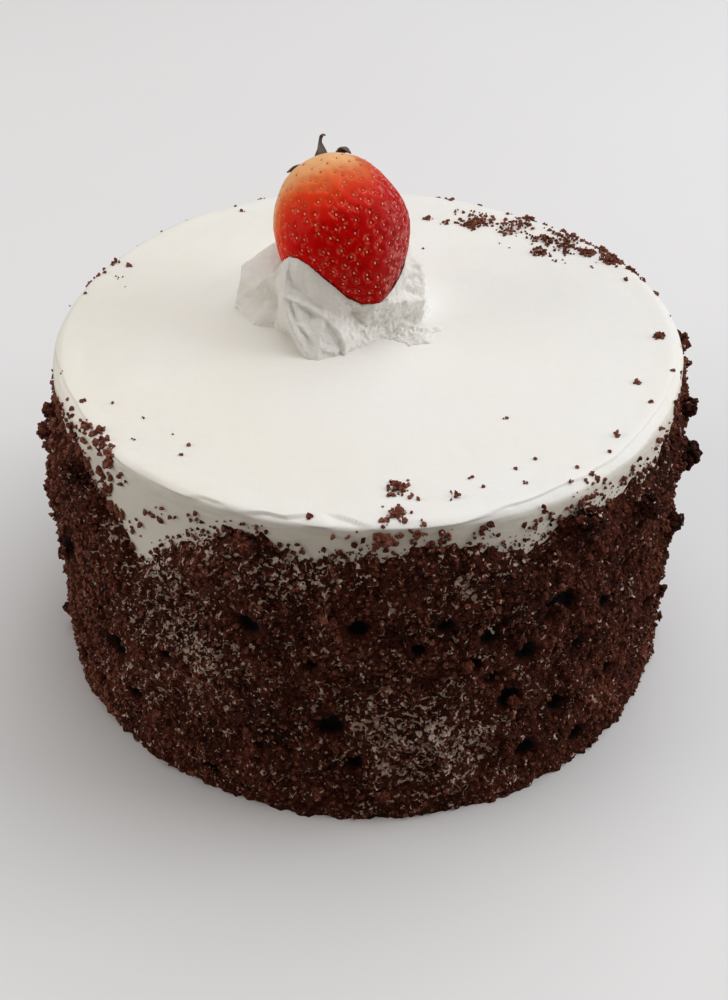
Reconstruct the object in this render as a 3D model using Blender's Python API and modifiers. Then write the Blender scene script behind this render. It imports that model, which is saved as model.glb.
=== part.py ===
"""A round strawberry cake: a cream-covered cake with chocolate crumbs pressed round its
wall, a spooned dollop of whipped cream on top, and one whole strawberry seated in it.

Metres, +Z up. The origin is the middle of the cake's base, and -Y is the side that shows
the strawberry's tip. Angles run anticlockwise from +X, seen from above.
"""

import math
import random

import bmesh
import bpy
import numpy as np
from mathutils import Matrix, Vector, noise

# The cake
CAKE_RADIUS = 0.0997  # the cream wall, a mean of its hand-spread outline
CAKE_HEIGHT = 0.111
OUTLINE_WAVES = ((2, 0.0105, 123), (3, 0.0045, 20), (4, 0.0072, -68))  # (count, share, degrees)
RIM_LIP = 0.0007  # how far the knife left the cream proud just inside the rim
KNIFE_WAVE = 0.0004
FLAT_RADIUS = 0.056  # the top is flat this far out, under the dollop
ROUND_STEPS = 88

# The crumb coat
GAP = 0.0003  # clearance between neighbouring solids
COAT_THICKNESS = 0.0043
COAT_EDGE = 0.1035  # height of its upper edge, between its dips and rises
COAT_SAGS = (  # (degrees, dip, half-width in degrees); a rise is a dip below zero
    (-139, 0.0100, 7), (-131, 0.0195, 5.2), (-123, 0.0065, 7), (-110, -0.0030, 6),
    (-97, 0.0030, 6), (-84, -0.0022, 6), (-63, 0.0035, 6), (-54, -0.0020, 4), (-37, 0.0035, 9),
    (-9, -0.0035, 12), (13, 0.0060, 9), (52, -0.0045, 20), (88, 0.0050, 9),
    (112, 0.0105, 8), (140, -0.0015, 9), (-177, 0.0130, 8),
)
COAT_STEPS = 104
COAT_ROWS = 16
COAT_LEAN = 0.0011  # thicker than the mean at the left, thinner at the right
COAT_FOOT = 0.0018  # how far it flares out at its foot
COAT_RELIEF = 0.0022
COAT_RELIEF_SIZE = 0.0125
COAT_GRAIN = 0.0018
COAT_LUMPS = 34
HERO_LUMPS = (  # (degrees, height, size) of the lumps that break the outline
    (-16.5, 0.0835, 0.0052), (-15, 0.0995, 0.0034), (-15, 0.0950, 0.0020),
    (1.5, 0.1045, 0.0028), (-164, 0.0990, 0.0020), (-165, 0.0690, 0.0022),
    (-147, 0.0965, 0.0034), (-142, 0.0905, 0.0030), (-109, 0.1020, 0.0030),
    (-54, 0.1000, 0.0032), (-58, 0.0700, 0.0026), (38, 0.0980, 0.0036),
    (78, 0.0860, 0.0022), (131, 0.0950, 0.0034), (156, 0.0720, 0.0026), (3, 0.0620, 0.0030),
)
TOP_CRUMBS = (  # (x, y, spread, count, size) of the crumbs dropped on the cream
    (0.008, -0.084, 0.0030, 4, 0.0013), (0.007, -0.093, 0.0030, 4, 0.0014),
    (0.024, -0.087, 0.0018, 2, 0.0012), (0.043, -0.081, 0.0, 1, 0.0011),
    (0.071, -0.059, 0.0, 1, 0.0015), (0.081, -0.031, 0.0, 1, 0.0015),
    (0.092, -0.005, 0.0, 1, 0.0019), (-0.084, -0.042, 0.0, 1, 0.0011),
    (-0.074, -0.059, 0.0040, 5, 0.0019), (-0.086, 0.043, 0.0030, 2, 0.0014),
    (-0.0935, 0.032, 0.0020, 2, 0.0017), (0.039, 0.071, 0.0055, 4, 0.0014),
    (0.057, 0.073, 0.0050, 3, 0.0014), (0.061, 0.053, 0.0050, 3, 0.0013),
    (0.076, 0.048, 0.0050, 4, 0.0016), (0.082, 0.039, 0.0035, 2, 0.0014),
)

# The dollop, sketched from its middle by the outline it stands on and by its creases, in mm
MM = 0.001
DOLLOP_MIDDLE = (-9, 12, 0)
DOLLOP_OUTLINE = (
    (-43, 16), (-40, 7.5), (-37, 2.5), (-30, 0.5), (-24.5, -3.5), (-22.5, -9), (-19.5, -17),
    (-15.5, -19), (-10.5, -16.5), (-6, -14.5), (0, -9.5), (6, -3.5), (13, 0.5), (18, 4.5),
    (20.5, 16), (18, 30), (8, 43), (-10, 47), (-28, 43), (-41, 31),
)
DOLLOP_CREASES = (  # (how far the cream sinks beside it, over what angle, further fall, points)
    # from the peak down the left flap
    (4.0, 0.12, 13, ((-24, -0.5, 26), (-28.5, 2.5, 19.5), (-33, 7, 13.5), (-40.5, 12.5, 6),
                     (-43, 13.5, 2.5))),
    # the fold that runs from the peak to the foot
    (3.5, 0.08, 15, ((-24, -0.5, 26), (-25.5, -3, 21), (-26, -8, 16.5), (-25, -11, 12),
                     (-23, -14, 8), (-20.5, -16.5, 4), (-18, -18.5, 0.5))),
    # the tongue's upper and lower edges
    (3.0, 0.10, 12, ((-26, -8, 16.5), (-22.5, -9, 15.5), (-15, -9.5, 15.5), (-11, -11, 14),
                     (-8, -12.5, 10.5), (-7, -14, 6.5), (-7, -15.5, 1.5))),
    (2.0, 0.07, 14, ((-23, -9.5, 14.5), (-21.5, -12, 9.5), (-17, -15.5, 5), (-13, -17.5, 2.5),
                     (-10, -16.5, 1))),
    # the rim round the strawberry
    (2.0, 0.16, 12, ((-24, -0.5, 26), (-21.5, -2.5, 26.5), (-18.5, -4.5, 25.5), (-15, -5.5, 21.5),
                     (-11, -6.5, 18.5), (-6, -6.5, 14.5), (-1.5, -6.5, 12.5), (2.5, -7, 12.5),
                     (6.5, -4.5, 13.5), (9.5, 0.5, 16), (12, 6.5, 18.5), (13, 13, 19.5),
                     (14, 19, 18))),
    # the right lobe, the left lobe and the back
    (3.5, 0.16, 14, ((13.5, 17, 18.5), (17.5, 14, 16), (18.5, 10, 12), (18.5, 5.5, 7.5),
                     (18, 4, 2))),
    (3.5, 0.14, 12, ((-29.5, 27, 17), (-35.5, 24, 14.5), (-41, 20, 12), (-41, 15.5, 10.5),
                     (-42.5, 15.5, 3))),
    (3.5, 0.18, 12, ((-29.5, 27, 17), (-22, 37, 14), (-8, 42, 14), (6, 38, 13.5), (14, 28, 16),
                     (14, 19, 17.5))),
    # the right shoulder in front
    (3.0, 0.16, 12, ((2.5, -7, 12.5), (8, -4, 12), (13.5, 0, 10.5), (18, 5.5, 7.5))),
)
DOLLOP_HOLLOWS = (  # (point it faces, depth, angle)
    ((-20, -6.5, 19), 2.0, 0.13), ((-15, -14, 9), 3.0, 0.17), ((-33, 2, 9), 2.0, 0.16),
    ((-32, 14, 16), 1.2, 0.20),
)
CREASE_ROUND = 0.035
DOLLOP_FACES = 1500
BERRY_ROOM = 0.0008  # how far the dollop keeps from the strawberry

# The strawberry, in its own frame: +Z runs to the stem
BERRY_LENGTH = 0.0525
BERRY_RADIUS = 0.0211
BERRY_WIDEST = 0.55  # share of the length from the stem
BERRY_MIDDLE = Vector((-0.0072, 0.0140, 0.1375))
BERRY_TILT = 55  # degrees back from upright
BERRY_LEAN = 23.5  # degrees to -X
BERRY_STEPS = 32
BERRY_ROWS = 14
STEM_DIMPLE = 0.0022
SEED_COUNT = 54
SEED_SIZE = Vector((0.00065, 0.00038, 0.00095))

# The calyx, in the strawberry's frame
SEPALS = (  # (degrees round the stem, (distance out, height, width) along it), in mm
    (120, ((1.2, 0.3, 2.6), (5.2, 1.1, 4.8), (6.2, 3.1, 3.0), (6.9, 5.4, 1.2), (8.5, 6.9, 1.5),
           (9.1, 6.2, 0.8))),
    (140, ((1.2, 0.3, 2.8), (5.0, 0.4, 4.0), (9.0, -0.1, 4.4), (10.5, 0.3, 4.4), (11.7, 0.2, 4.0),
           (12.6, -0.9, 3.4), (13.0, -2.4, 1.6))),
    (159, ((1.2, 0.3, 2.6), (6.0, 0.3, 4.4), (10.0, -0.8, 4.2), (13.5, -2.8, 2.2), (16.0, -4.8, 0.4))),
    (20, ((1.2, 0.3, 2.6), (5.0, 0.2, 3.4), (8.0, 0.3, 3.4), (9.5, -0.2, 3.0), (11.2, -1.4, 0.8))),
    (60, ((1.2, 0.3, 2.2), (3.4, 0.2, 2.8), (4.8, 0.1, 0.6))),
    (198, ((1.2, 0.3, 2.6), (5.0, 0.5, 5.2), (9.0, 0.9, 4.0), (12.5, 0.6, 0.4))),
    (238, ((1.2, 0.3, 2.6), (6.0, 0.6, 5.2), (10.0, -0.4, 3.8), (13.0, -2.4, 0.4))),
    (278, ((1.2, 0.3, 2.6), (5.0, 0.6, 5.0), (8.5, 0.5, 3.6), (11.0, -0.4, 0.4))),
    (318, ((1.2, 0.3, 2.6), (6.0, 0.7, 5.2), (10.0, 0.0, 3.8), (13.5, -2.2, 0.4))),
)
SEPAL_THICKNESS = 0.0007
SEPAL_STEPS = 6
SEPAL_CUP = 45  # how fast a leaf's edges rise, in metres for each square metre across
HUB_RADIUS = 0.0036
HUB_HEIGHT = 0.0009
STALK_RADIUS = 0.0013
STALK_LENGTH = 0.0020


def clear_scene():
    for old in list(bpy.data.objects):
        bpy.data.objects.remove(old)


def collection(name):
    made = bpy.data.collections.new(name)
    bpy.context.scene.collection.children.link(made)
    return made


def finish(name, colour, roughness):
    """A plain material of that colour."""
    made = bpy.data.materials.new(name)
    made.use_nodes = True
    shader = made.node_tree.nodes["Principled BSDF"]
    shader.inputs["Base Color"].default_value = (*colour, 1)
    shader.inputs["Roughness"].default_value = roughness
    shader.inputs["Metallic"].default_value = 0
    return made


def add(mesh, name, into):
    made = bpy.data.objects.new(name, mesh)
    into.objects.link(made)
    return made


def baked(obj):
    """Applies the object's modifiers to its mesh."""
    bpy.context.view_layer.update()
    graph = bpy.context.evaluated_depsgraph_get()
    mesh = bpy.data.meshes.new_from_object(obj.evaluated_get(graph))
    obj.modifiers.clear()
    obj.data = mesh
    return obj


def turned(name, profile, into, steps, closed=False):
    """Turns (radius, height) points round Z. The outer side runs from top to bottom."""
    mesh = bpy.data.meshes.new(name)
    edges = [(i, i + 1) for i in range(len(profile) - 1)]
    if closed:
        edges.append((len(profile) - 1, 0))
    mesh.from_pydata([(r, 0, z) for r, z in profile], edges, [])
    made = add(mesh, name, into)
    screw = made.modifiers.new("turn", "SCREW")
    screw.axis = "Z"
    screw.steps = screw.render_steps = steps
    screw.use_merge_vertices = True
    screw.merge_threshold = 1e-5
    return baked(made)


def reshape(obj, place):
    """Moves each vertex to where place puts it."""
    for vertex in obj.data.vertices:
        vertex.co = place(vertex.co.copy())
    obj.data.update()


def fuse(obj, parts):
    """Joins a collection's objects to obj, and removes them."""
    union = obj.modifiers.new("fuse", "BOOLEAN")
    union.operation = "UNION"
    union.operand_type = "COLLECTION"
    union.collection = parts
    union.solver = "MANIFOLD"
    baked(obj)
    for part in list(parts.objects):
        bpy.data.objects.remove(part)
    bpy.data.collections.remove(parts)
    return obj


def round_shaded(obj, material):
    obj.data.materials.clear()
    obj.data.materials.append(material)
    obj.data.shade_smooth()
    obj.data.set_sharp_from_angle(angle=math.radians(40))


def lump(name, size, into, rng, flat=0.8):
    """One crumb: a small ball with its points pushed in and out."""
    shape = bmesh.new()
    bmesh.ops.create_icosphere(shape, subdivisions=1, radius=size)
    for vertex in shape.verts:
        vertex.co *= rng.uniform(0.72, 1.18)
        vertex.co.z *= flat
    mesh = bpy.data.meshes.new(name)
    shape.to_mesh(mesh)
    shape.free()
    return add(mesh, name, into)


def outline(angle):
    """Radius of the cream wall at an angle in radians."""
    wave = sum(a * math.cos(n * angle + math.radians(p)) for n, a, p in OUTLINE_WAVES)
    return CAKE_RADIUS * (1 + wave)


def coat_edge(angle):
    """Height of the crumb coat's upper edge at an angle in radians."""
    height = COAT_EDGE
    for at, dip, width in COAT_SAGS:
        away = (math.degrees(angle) - at + 180) % 360 - 180
        height -= dip * math.exp(-((away / width) ** 2))
    return height


def cake_top(x, y):
    """Height of the cream top, flat in the middle and uneven from the knife outside it."""
    radius = math.hypot(x, y)
    share = min(1, max(0, (radius - FLAT_RADIUS) / 0.02))
    wave = noise.noise(Vector((x * 34, y * 34, 1.7)))
    return CAKE_HEIGHT + share * KNIFE_WAVE * wave


def make_cake(into):
    rim = CAKE_RADIUS
    top = CAKE_HEIGHT
    profile = [
        (0, top), (0.056, top), (0.078, top), (rim - 0.0090, top + 0.3 * RIM_LIP),
        (rim - 0.0045, top + RIM_LIP), (rim - 0.0018, top - 0.0001), (rim - 0.0003, top - 0.0014),
        (rim, top - 0.0034), (rim, 0), (0, 0),
    ]
    cake = turned("cake", profile, into, ROUND_STEPS)

    def spread(point):
        radius = math.hypot(point.x, point.y)
        if radius < 1e-6:
            return point
        angle = math.atan2(point.y, point.x)
        grow = 1 + (outline(angle) / CAKE_RADIUS - 1) * min(1, radius / FLAT_RADIUS)
        placed = Vector((point.x * grow, point.y * grow, point.z))
        if point.z > top - 0.004:
            placed.z += cake_top(placed.x, placed.y) - top
        return placed

    reshape(cake, spread)
    rng = random.Random(11)
    crumbs = collection("cake crumbs")
    for x, y, scatter, count, size in TOP_CRUMBS:
        for _ in range(count):
            at = Vector((rng.gauss(x, scatter * 0.7), rng.gauss(y, scatter * 0.7), 0))
            reach = size * rng.uniform(0.8, 1.25)
            angle = math.atan2(at.y, at.x)
            if at.length > outline(angle) - 0.0040:
                at *= (outline(angle) - 0.0040) / at.length
            crumb = lump("crumb", reach, crumbs, rng)
            crumb.location = (at.x, at.y, cake_top(at.x, at.y) + reach * 0.35)
            crumb.rotation_euler = (0, 0, rng.uniform(0, math.tau))
    return fuse(cake, crumbs)


def coat_surface(angle, height):
    """Radius of the coat's outer face, which thins out towards its upper edge."""
    below = coat_edge(angle) - height
    share = min(1, max(0, (below + 0.002) / 0.016))
    share = 0.38 + 0.62 * share * share * (3 - 2 * share)
    around = Vector((math.cos(angle), math.sin(angle), 0)) * CAKE_RADIUS
    point = around + Vector((0, 0, height))
    relief = COAT_RELIEF * noise.noise(point / COAT_RELIEF_SIZE)
    relief += COAT_GRAIN * noise.noise(point / COAT_RELIEF_SIZE * 7.3)
    relief *= min(1, 0.5 + height / 0.030)
    thickness = COAT_THICKNESS - COAT_LEAN * math.cos(angle)
    thickness += COAT_FOOT * math.exp(-height / 0.020)
    return outline(angle) + max((thickness + relief) * share, 0.0012)


def make_coat(into):
    rows = [(2, 1 - i / COAT_ROWS) for i in range(COAT_ROWS + 1)]
    sleeve = turned("crumb_coat", [(1, 1), *rows, (1, 0)], into, COAT_STEPS, closed=True)

    def wrap(point):
        """Carries the plain sleeve, from radius 1 to 2 and height 0 to 1, on to the cake."""
        angle = math.atan2(point.y, point.x)
        outer = math.hypot(point.x, point.y) > 1.5
        share = point.z
        if outer and 0.01 < share < 0.99:
            angle += 0.30 * math.tau / COAT_STEPS * noise.noise(point * 31)
            share += 0.45 / COAT_ROWS * noise.noise(point * 23 + Vector((9, 4, 2)))
        height = share * coat_edge(angle)
        radius = coat_surface(angle, height) if outer else outline(angle) + GAP
        return Vector((radius * math.cos(angle), radius * math.sin(angle), height))

    reshape(sleeve, wrap)
    rng = random.Random(5)
    lumps = collection("coat lumps")
    places = list(HERO_LUMPS)
    golden = 180 * (3 - math.sqrt(5))
    for i in range(COAT_LUMPS):
        degrees = -180 + (i * golden + rng.uniform(-6, 6)) % 360
        room = coat_edge(math.radians(degrees)) - 0.014
        height = 0.006 + room * ((i + rng.random()) / COAT_LUMPS)
        places.append((degrees, height, rng.uniform(0.0016, 0.0026)))
    bpy.context.view_layer.update()
    for degrees, height, size in places:
        angle = math.radians(degrees)
        radius = coat_surface(angle, height)
        near = Vector((radius * math.cos(angle), radius * math.sin(angle), height))
        _, place, _, _ = sleeve.closest_point_on_mesh(near)
        middle = place + Vector((math.cos(angle), math.sin(angle), 0)) * size * 0.25
        piece = lump("lump", size, lumps, rng, flat=1)

        def press(point):
            """Flattens what would reach into the cake."""
            placed = middle + point
            near = outline(math.atan2(placed.y, placed.x)) + 3 * GAP
            across = math.hypot(placed.x, placed.y)
            grow = max(1, near / across)
            return Vector((placed.x * grow, placed.y * grow, placed.z))

        reshape(piece, press)
    return fuse(sleeve, lumps)


def crease_points(step=0.8):
    """Points close together along every crease: direction, length, sink, angle and fall."""
    middle = np.array(DOLLOP_MIDDLE, float)
    found = []
    for sink, width, fall, crease in DOLLOP_CREASES:
        points = np.array(crease) - middle
        for start, end in zip(points, points[1:]):
            count = max(1, round(float(np.linalg.norm(end - start)) / step))
            for i in range(count + 1):
                point = start + (end - start) * i / count
                length = float(np.linalg.norm(point))
                found.append((*(point / length), length, sink, width, fall))
    return np.array(found)


def dollop_reach(directions):
    """How far the cream reaches from its middle in each direction, in mm."""
    middle = np.array(DOLLOP_MIDDLE, float)
    edge = np.array(DOLLOP_OUTLINE) - middle[:2]
    round_it = np.arctan2(edge[:, 1], edge[:, 0])
    order = np.argsort(round_it)
    round_it, far = round_it[order], np.hypot(*edge[order].T)
    whole = np.concatenate([round_it - math.tau, round_it, round_it + math.tau])
    azimuth = np.arctan2(directions[:, 1], directions[:, 0])
    rise = np.arcsin(np.clip(directions[:, 2], 0, 1)) / (math.pi / 2)
    skirt = np.interp(azimuth, whole, np.tile(far, 3)) * (1 - 0.52 * rise**0.85)

    creases = crease_points()
    apart = np.arccos(np.clip(directions @ creases[:, :3].T, -1, 1))
    apart = np.sqrt(apart**2 + CREASE_ROUND**2) - CREASE_ROUND
    length, sink, width, fall = creases[:, 3:].T
    ridges = (length - sink * (1 - np.exp(-apart / width)) - fall * apart).max(axis=1)

    soft = 0.8
    mix = np.clip(0.5 + 0.5 * (ridges - skirt) / soft, 0, 1)
    reach = skirt * (1 - mix) + ridges * mix + soft * mix * (1 - mix)
    for facing, depth, width in DOLLOP_HOLLOWS:
        toward = np.array(facing) - middle
        apart = np.arccos(np.clip(directions @ toward / np.linalg.norm(toward), -1, 1))
        reach -= depth * np.exp(-((apart / width) ** 2))
    return reach


def make_dollop(into):
    shape = bmesh.new()
    bmesh.ops.create_uvsphere(shape, u_segments=192, v_segments=96, radius=1)
    everything = [*shape.verts, *shape.edges, *shape.faces]
    cut = bmesh.ops.bisect_plane(
        shape, geom=everything, plane_co=(0, 0, 0), plane_no=(0, 0, -1), clear_outer=True
    )
    rim = [edge for edge in cut["geom_cut"] if isinstance(edge, bmesh.types.BMEdge)]
    bmesh.ops.contextual_create(shape, geom=rim)
    base = Vector(DOLLOP_MIDDLE) * MM + Vector((0, 0, CAKE_HEIGHT + GAP))
    directions = np.array([vertex.co.normalized() for vertex in shape.verts])
    for vertex, direction, reach in zip(shape.verts, directions, dollop_reach(directions)):
        vertex.co = base + Vector(direction) * float(reach) * MM
    bmesh.ops.triangulate(shape, faces=shape.faces)
    mesh = bpy.data.meshes.new("cream_dollop")
    shape.to_mesh(mesh)
    shape.free()
    dollop = add(mesh, "cream_dollop", into)
    fewer = dollop.modifiers.new("fewer faces", "DECIMATE")
    fewer.ratio = DOLLOP_FACES / len(mesh.polygons)
    baked(dollop)
    floor = base.z

    def stand(point):
        return Vector((point.x, point.y, floor if point.z < floor + 0.0002 else point.z))

    reshape(dollop, stand)
    return dollop


def berry_radius(share):
    """Radius at a share of the length, from the stem's shoulder (0) to the tip (1)."""
    if share < BERRY_WIDEST:
        off = (BERRY_WIDEST - share) / BERRY_WIDEST
        return BERRY_RADIUS * max(0, 1 - off**2.3) ** 0.48
    off = (share - BERRY_WIDEST) / (1 - BERRY_WIDEST)
    return BERRY_RADIUS * max(0, 1 - off**1.45) ** 0.74


def berry_point(share, angle):
    """A point on the strawberry's skin."""
    radius = berry_radius(share)
    radius *= 1 + 0.018 * math.cos(3 * angle + 0.6) * math.sin(math.pi * share)
    height = BERRY_LENGTH * (0.5 - share)
    if share < BERRY_WIDEST:
        height -= STEM_DIMPLE * math.exp(-((radius / 0.0065) ** 2))
    return Vector((radius * math.cos(angle), radius * math.sin(angle), height))


def berry_body(name, into, out=0.0):
    """The strawberry without its seeds, grown by out on every side."""
    shares = [0.5 - 0.5 * math.cos(math.pi * i / BERRY_ROWS) for i in range(BERRY_ROWS + 1)]
    profile = [(berry_radius(s), BERRY_LENGTH * (0.5 - s)) for s in shares]
    profile[0] = (0, BERRY_LENGTH / 2)
    profile[-1] = (0, -BERRY_LENGTH / 2)
    body = turned(name, profile, into, BERRY_STEPS)

    def skin(point):
        share = 0.5 - point.z / BERRY_LENGTH
        placed = berry_point(share, math.atan2(point.y, point.x))
        grow = 1 + out / BERRY_RADIUS
        return Vector((placed.x * grow, placed.y * grow, placed.z * grow))

    reshape(body, skin)
    return body


def make_strawberry(into):
    body = berry_body("strawberry", into)
    seeds = collection("seeds")
    golden = math.pi * (3 - math.sqrt(5))
    bpy.context.view_layer.update()
    for i in range(SEED_COUNT):
        share = 0.17 + 0.76 * ((i + 0.5) / SEED_COUNT) ** 0.92
        angle = i * golden
        _, at, normal, _ = body.closest_point_on_mesh(berry_point(share, angle))
        side = Vector((-math.sin(angle), math.cos(angle), 0))
        shape = bmesh.new()
        bmesh.ops.create_uvsphere(shape, u_segments=5, v_segments=3, radius=1)
        mesh = bpy.data.meshes.new("seed")
        shape.to_mesh(mesh)
        shape.free()
        seed = add(mesh, "seed", seeds)
        along = side.cross(normal).normalized()
        across = normal.cross(along)
        turn = Matrix((across, normal, along)).transposed().to_4x4()
        seed.matrix_world = Matrix.Translation(at) @ turn
        mesh.transform(Matrix.Diagonal((*SEED_SIZE, 1)))
    return fuse(body, seeds)


def sepal(azimuth, spine, into):
    """One thin leaf that runs out from the hub along its spine, cupped across."""
    spine = np.array(spine) * MM
    steps = np.linalg.norm(np.diff(spine[:, :2], axis=0), axis=1)
    run = np.concatenate([[0], np.cumsum(steps)])
    shape = bmesh.new()
    bmesh.ops.create_grid(shape, x_segments=SEPAL_STEPS, y_segments=2, size=0.5)
    for vertex in shape.verts:
        along = (vertex.co.x + 0.5) * run[-1]
        out, up, broad = (float(np.interp(along, run, values)) for values in spine.T)
        across = vertex.co.y * broad
        vertex.co = Vector((out, across, up + SEPAL_CUP * across * across))
    mesh = bpy.data.meshes.new("sepal")
    shape.to_mesh(mesh)
    shape.free()
    made = add(mesh, "sepal", into)
    thick = made.modifiers.new("thickness", "SOLIDIFY")
    thick.thickness = SEPAL_THICKNESS
    thick.offset = 1
    baked(made)
    made.rotation_euler = (0, 0, math.radians(azimuth))
    return made


def make_calyx(into):
    profile = [
        (0, STALK_LENGTH), (STALK_RADIUS, STALK_LENGTH), (STALK_RADIUS * 1.15, HUB_HEIGHT + 0.0004),
        (HUB_RADIUS * 0.8, HUB_HEIGHT), (HUB_RADIUS, HUB_HEIGHT * 0.4), (HUB_RADIUS, -0.0001),
        (0, -0.0001),
    ]
    hub = turned("calyx", profile, into, 10)
    sepals = collection("sepals")
    for azimuth, spine in SEPALS:
        sepal(azimuth, spine, sepals)
    fuse(hub, sepals)
    seat = BERRY_LENGTH / 2 - STEM_DIMPLE + 0.0007
    reshape(hub, lambda point: point + Vector((0, 0, seat)))
    return hub


def main():
    clear_scene()
    parts = collection("strawberry cake")
    cream = finish("whipped cream", (0.86, 0.84, 0.78), 0.55)
    crumb = finish("chocolate crumb", (0.055, 0.020, 0.012), 0.9)
    red = finish("strawberry skin", (0.55, 0.02, 0.015), 0.3)
    leaf = finish("dried sepals", (0.075, 0.050, 0.032), 0.8)

    cake = make_cake(parts)
    coat = make_coat(parts)
    dollop = make_dollop(parts)
    strawberry = make_strawberry(parts)
    calyx = make_calyx(parts)

    seat = bpy.data.objects.new("berry_seat", None)
    parts.objects.link(seat)
    seat.location = BERRY_MIDDLE
    stem = Vector(
        (
            -math.sin(math.radians(BERRY_LEAN)),
            math.sin(math.radians(BERRY_TILT)) * math.cos(math.radians(BERRY_LEAN)),
            math.cos(math.radians(BERRY_TILT)) * math.cos(math.radians(BERRY_LEAN)),
        )
    )
    seat.rotation_mode = "QUATERNION"
    seat.rotation_quaternion = stem.to_track_quat("Z", "Y")
    strawberry.parent = seat
    calyx.parent = seat

    cutters = collection("cutters")
    room = berry_body("berry room", cutters, out=BERRY_ROOM)
    room.parent = seat
    room.hide_render = True
    room.display_type = "WIRE"
    cut = dollop.modifiers.new("berry room", "BOOLEAN")
    cut.operation = "DIFFERENCE"
    cut.object = room

    for piece, material in (
        (cake, cream), (coat, crumb), (dollop, cream), (strawberry, red), (calyx, leaf),
    ):
        round_shaded(piece, material)


main()
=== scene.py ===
"""Looks of the strawberry cake: cream, crumb coat, dollop and strawberry, built round the
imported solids. Metres, +Z up, -Y is the front. Angles run anticlockwise from +X.
"""

import math

import bmesh
import bpy
import numpy as np
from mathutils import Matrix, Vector, kdtree, noise
from mathutils.bvhtree import BVHTree

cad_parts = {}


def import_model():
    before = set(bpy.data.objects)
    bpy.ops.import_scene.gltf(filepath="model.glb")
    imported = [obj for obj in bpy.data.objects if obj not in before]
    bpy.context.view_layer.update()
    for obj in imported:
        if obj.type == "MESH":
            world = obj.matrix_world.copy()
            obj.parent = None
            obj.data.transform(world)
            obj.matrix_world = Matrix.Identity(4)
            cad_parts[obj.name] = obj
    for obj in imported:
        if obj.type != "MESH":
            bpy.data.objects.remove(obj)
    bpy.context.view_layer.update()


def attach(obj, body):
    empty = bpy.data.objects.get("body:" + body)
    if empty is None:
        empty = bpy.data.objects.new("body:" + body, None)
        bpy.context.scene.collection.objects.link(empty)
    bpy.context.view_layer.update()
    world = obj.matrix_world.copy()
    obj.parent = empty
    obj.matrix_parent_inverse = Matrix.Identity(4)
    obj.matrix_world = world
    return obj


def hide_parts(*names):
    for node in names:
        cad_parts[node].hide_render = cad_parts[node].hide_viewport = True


MM = 0.001

# The cake's form, as in the part's source
CAKE_RADIUS = 0.0997
CAKE_HEIGHT = 0.111
OUTLINE_WAVES = ((2, 0.0105, 123), (3, 0.0045, 20), (4, 0.0072, -68))  # (count, share, degrees)
KNIFE_WAVE = 0.0004
FLAT_RADIUS = 0.056  # the top is flat this far out, under the dollop

# The cream's rim, which the knife left crisp in some places and bevelled in others
RIM_CRISP = (  # (distance in from the wall, height over the top), in mm
    (9.0, 0.15), (5.0, 0.32), (2.2, 0.32), (1.0, 0.12),
    (0.2, -0.45), (0.0, -1.3), (0.0, -3.4), (0.0, -7.0),
)
RIM_BEVEL = (
    (9.0, 0.15), (5.6, 0.34), (3.9, 0.32), (3.0, 0.0),
    (1.2, -1.1), (0.35, -1.9), (0.0, -3.7), (0.0, -7.0),
)
BEVEL_SHARE = (  # (degrees, share of the bevelled profile)
    (-180, 0.7), (-170, 0.9), (-150, 0.8), (-138, 0.35), (-120, 0.10), (-90, 0.05), (-75, 0.35),
    (-60, 0.8), (-30, 1.0), (0, 0.9), (20, 0.6), (60, 0.4), (120, 0.4), (150, 0.5), (180, 0.7),
)
RIM_FOLDS = (  # where the cream folds over: ((degrees, mm in from the wall), ...), drop in mm
    (((-120, 0.2), (-117, 1.1), (-114, 0.9), (-112, 0.0)), 0.65),
    (((-110, 0.0), (-106, 1.7), (-103, 1.3), (-100, 3.0), (-98.5, 3.4)), 0.95),
    (((-97, 4.6), (-94.5, 4.2), (-92, 2.5), (-89.5, 0.2)), 0.90),
    (((-76, 0.2), (-68, 2.4), (-58, 3.0), (-44, 2.6), (-30, 3.4), (-14, 2.6), (2, 1.6), (9, 0.3)), 0.50),
    (((-175, 0.6), (-165, 3.0), (-152, 3.6), (-140, 2.4), (-133, 0.3)), 0.40),
)
FOLD_SLOPE = 0.0002  # half the width of the step at a fold
FOLD_RAGGED = (0.00025, 0.006, 4)  # noise is given as (height, size, seed)
RIM_LIP = 0.00060  # how far the knife pushed the cream out over the wall
RIM_WAVE = (0.00028, 0.013, 7)
KNIFE_STROKES = ((0.00011, 0.010, 2), (0.00005, 0.0035, 3))
STROKE_STRETCH = ((0.9, 0.35, 0), (-0.12, 0.32, 0), (0, 0, 1))
WALL_WAVE = (0.00035, 0.011, 12)
WALL_STREAKS = (0.00010, 0.004, 13)
CAKE_COLUMNS = 600
TOP_RINGS = 28
WALL_RINGS = 14

# The crumb coat's form, as in the part's source
COAT_THICKNESS = 0.0043
COAT_EDGE = 0.1035
COAT_SAGS = (  # (degrees, dip, half-width in degrees); a rise is a dip below zero
    (-139, 0.0100, 7), (-131, 0.0195, 5.2), (-123, 0.0065, 7), (-110, -0.0030, 6),
    (-97, 0.0030, 6), (-84, -0.0022, 6), (-63, 0.0035, 6), (-54, -0.0020, 4), (-37, 0.0035, 9),
    (-9, -0.0035, 12), (13, 0.0060, 9), (52, -0.0045, 20), (88, 0.0050, 9),
    (112, 0.0105, 8), (140, -0.0015, 9), (-177, 0.0130, 8),
)
COAT_LEAN = 0.0011
COAT_FOOT = 0.0018
COAT_RELIEF = 0.0022
COAT_RELIEF_SIZE = 0.0125
COAT_GRAIN = 0.0018

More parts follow.
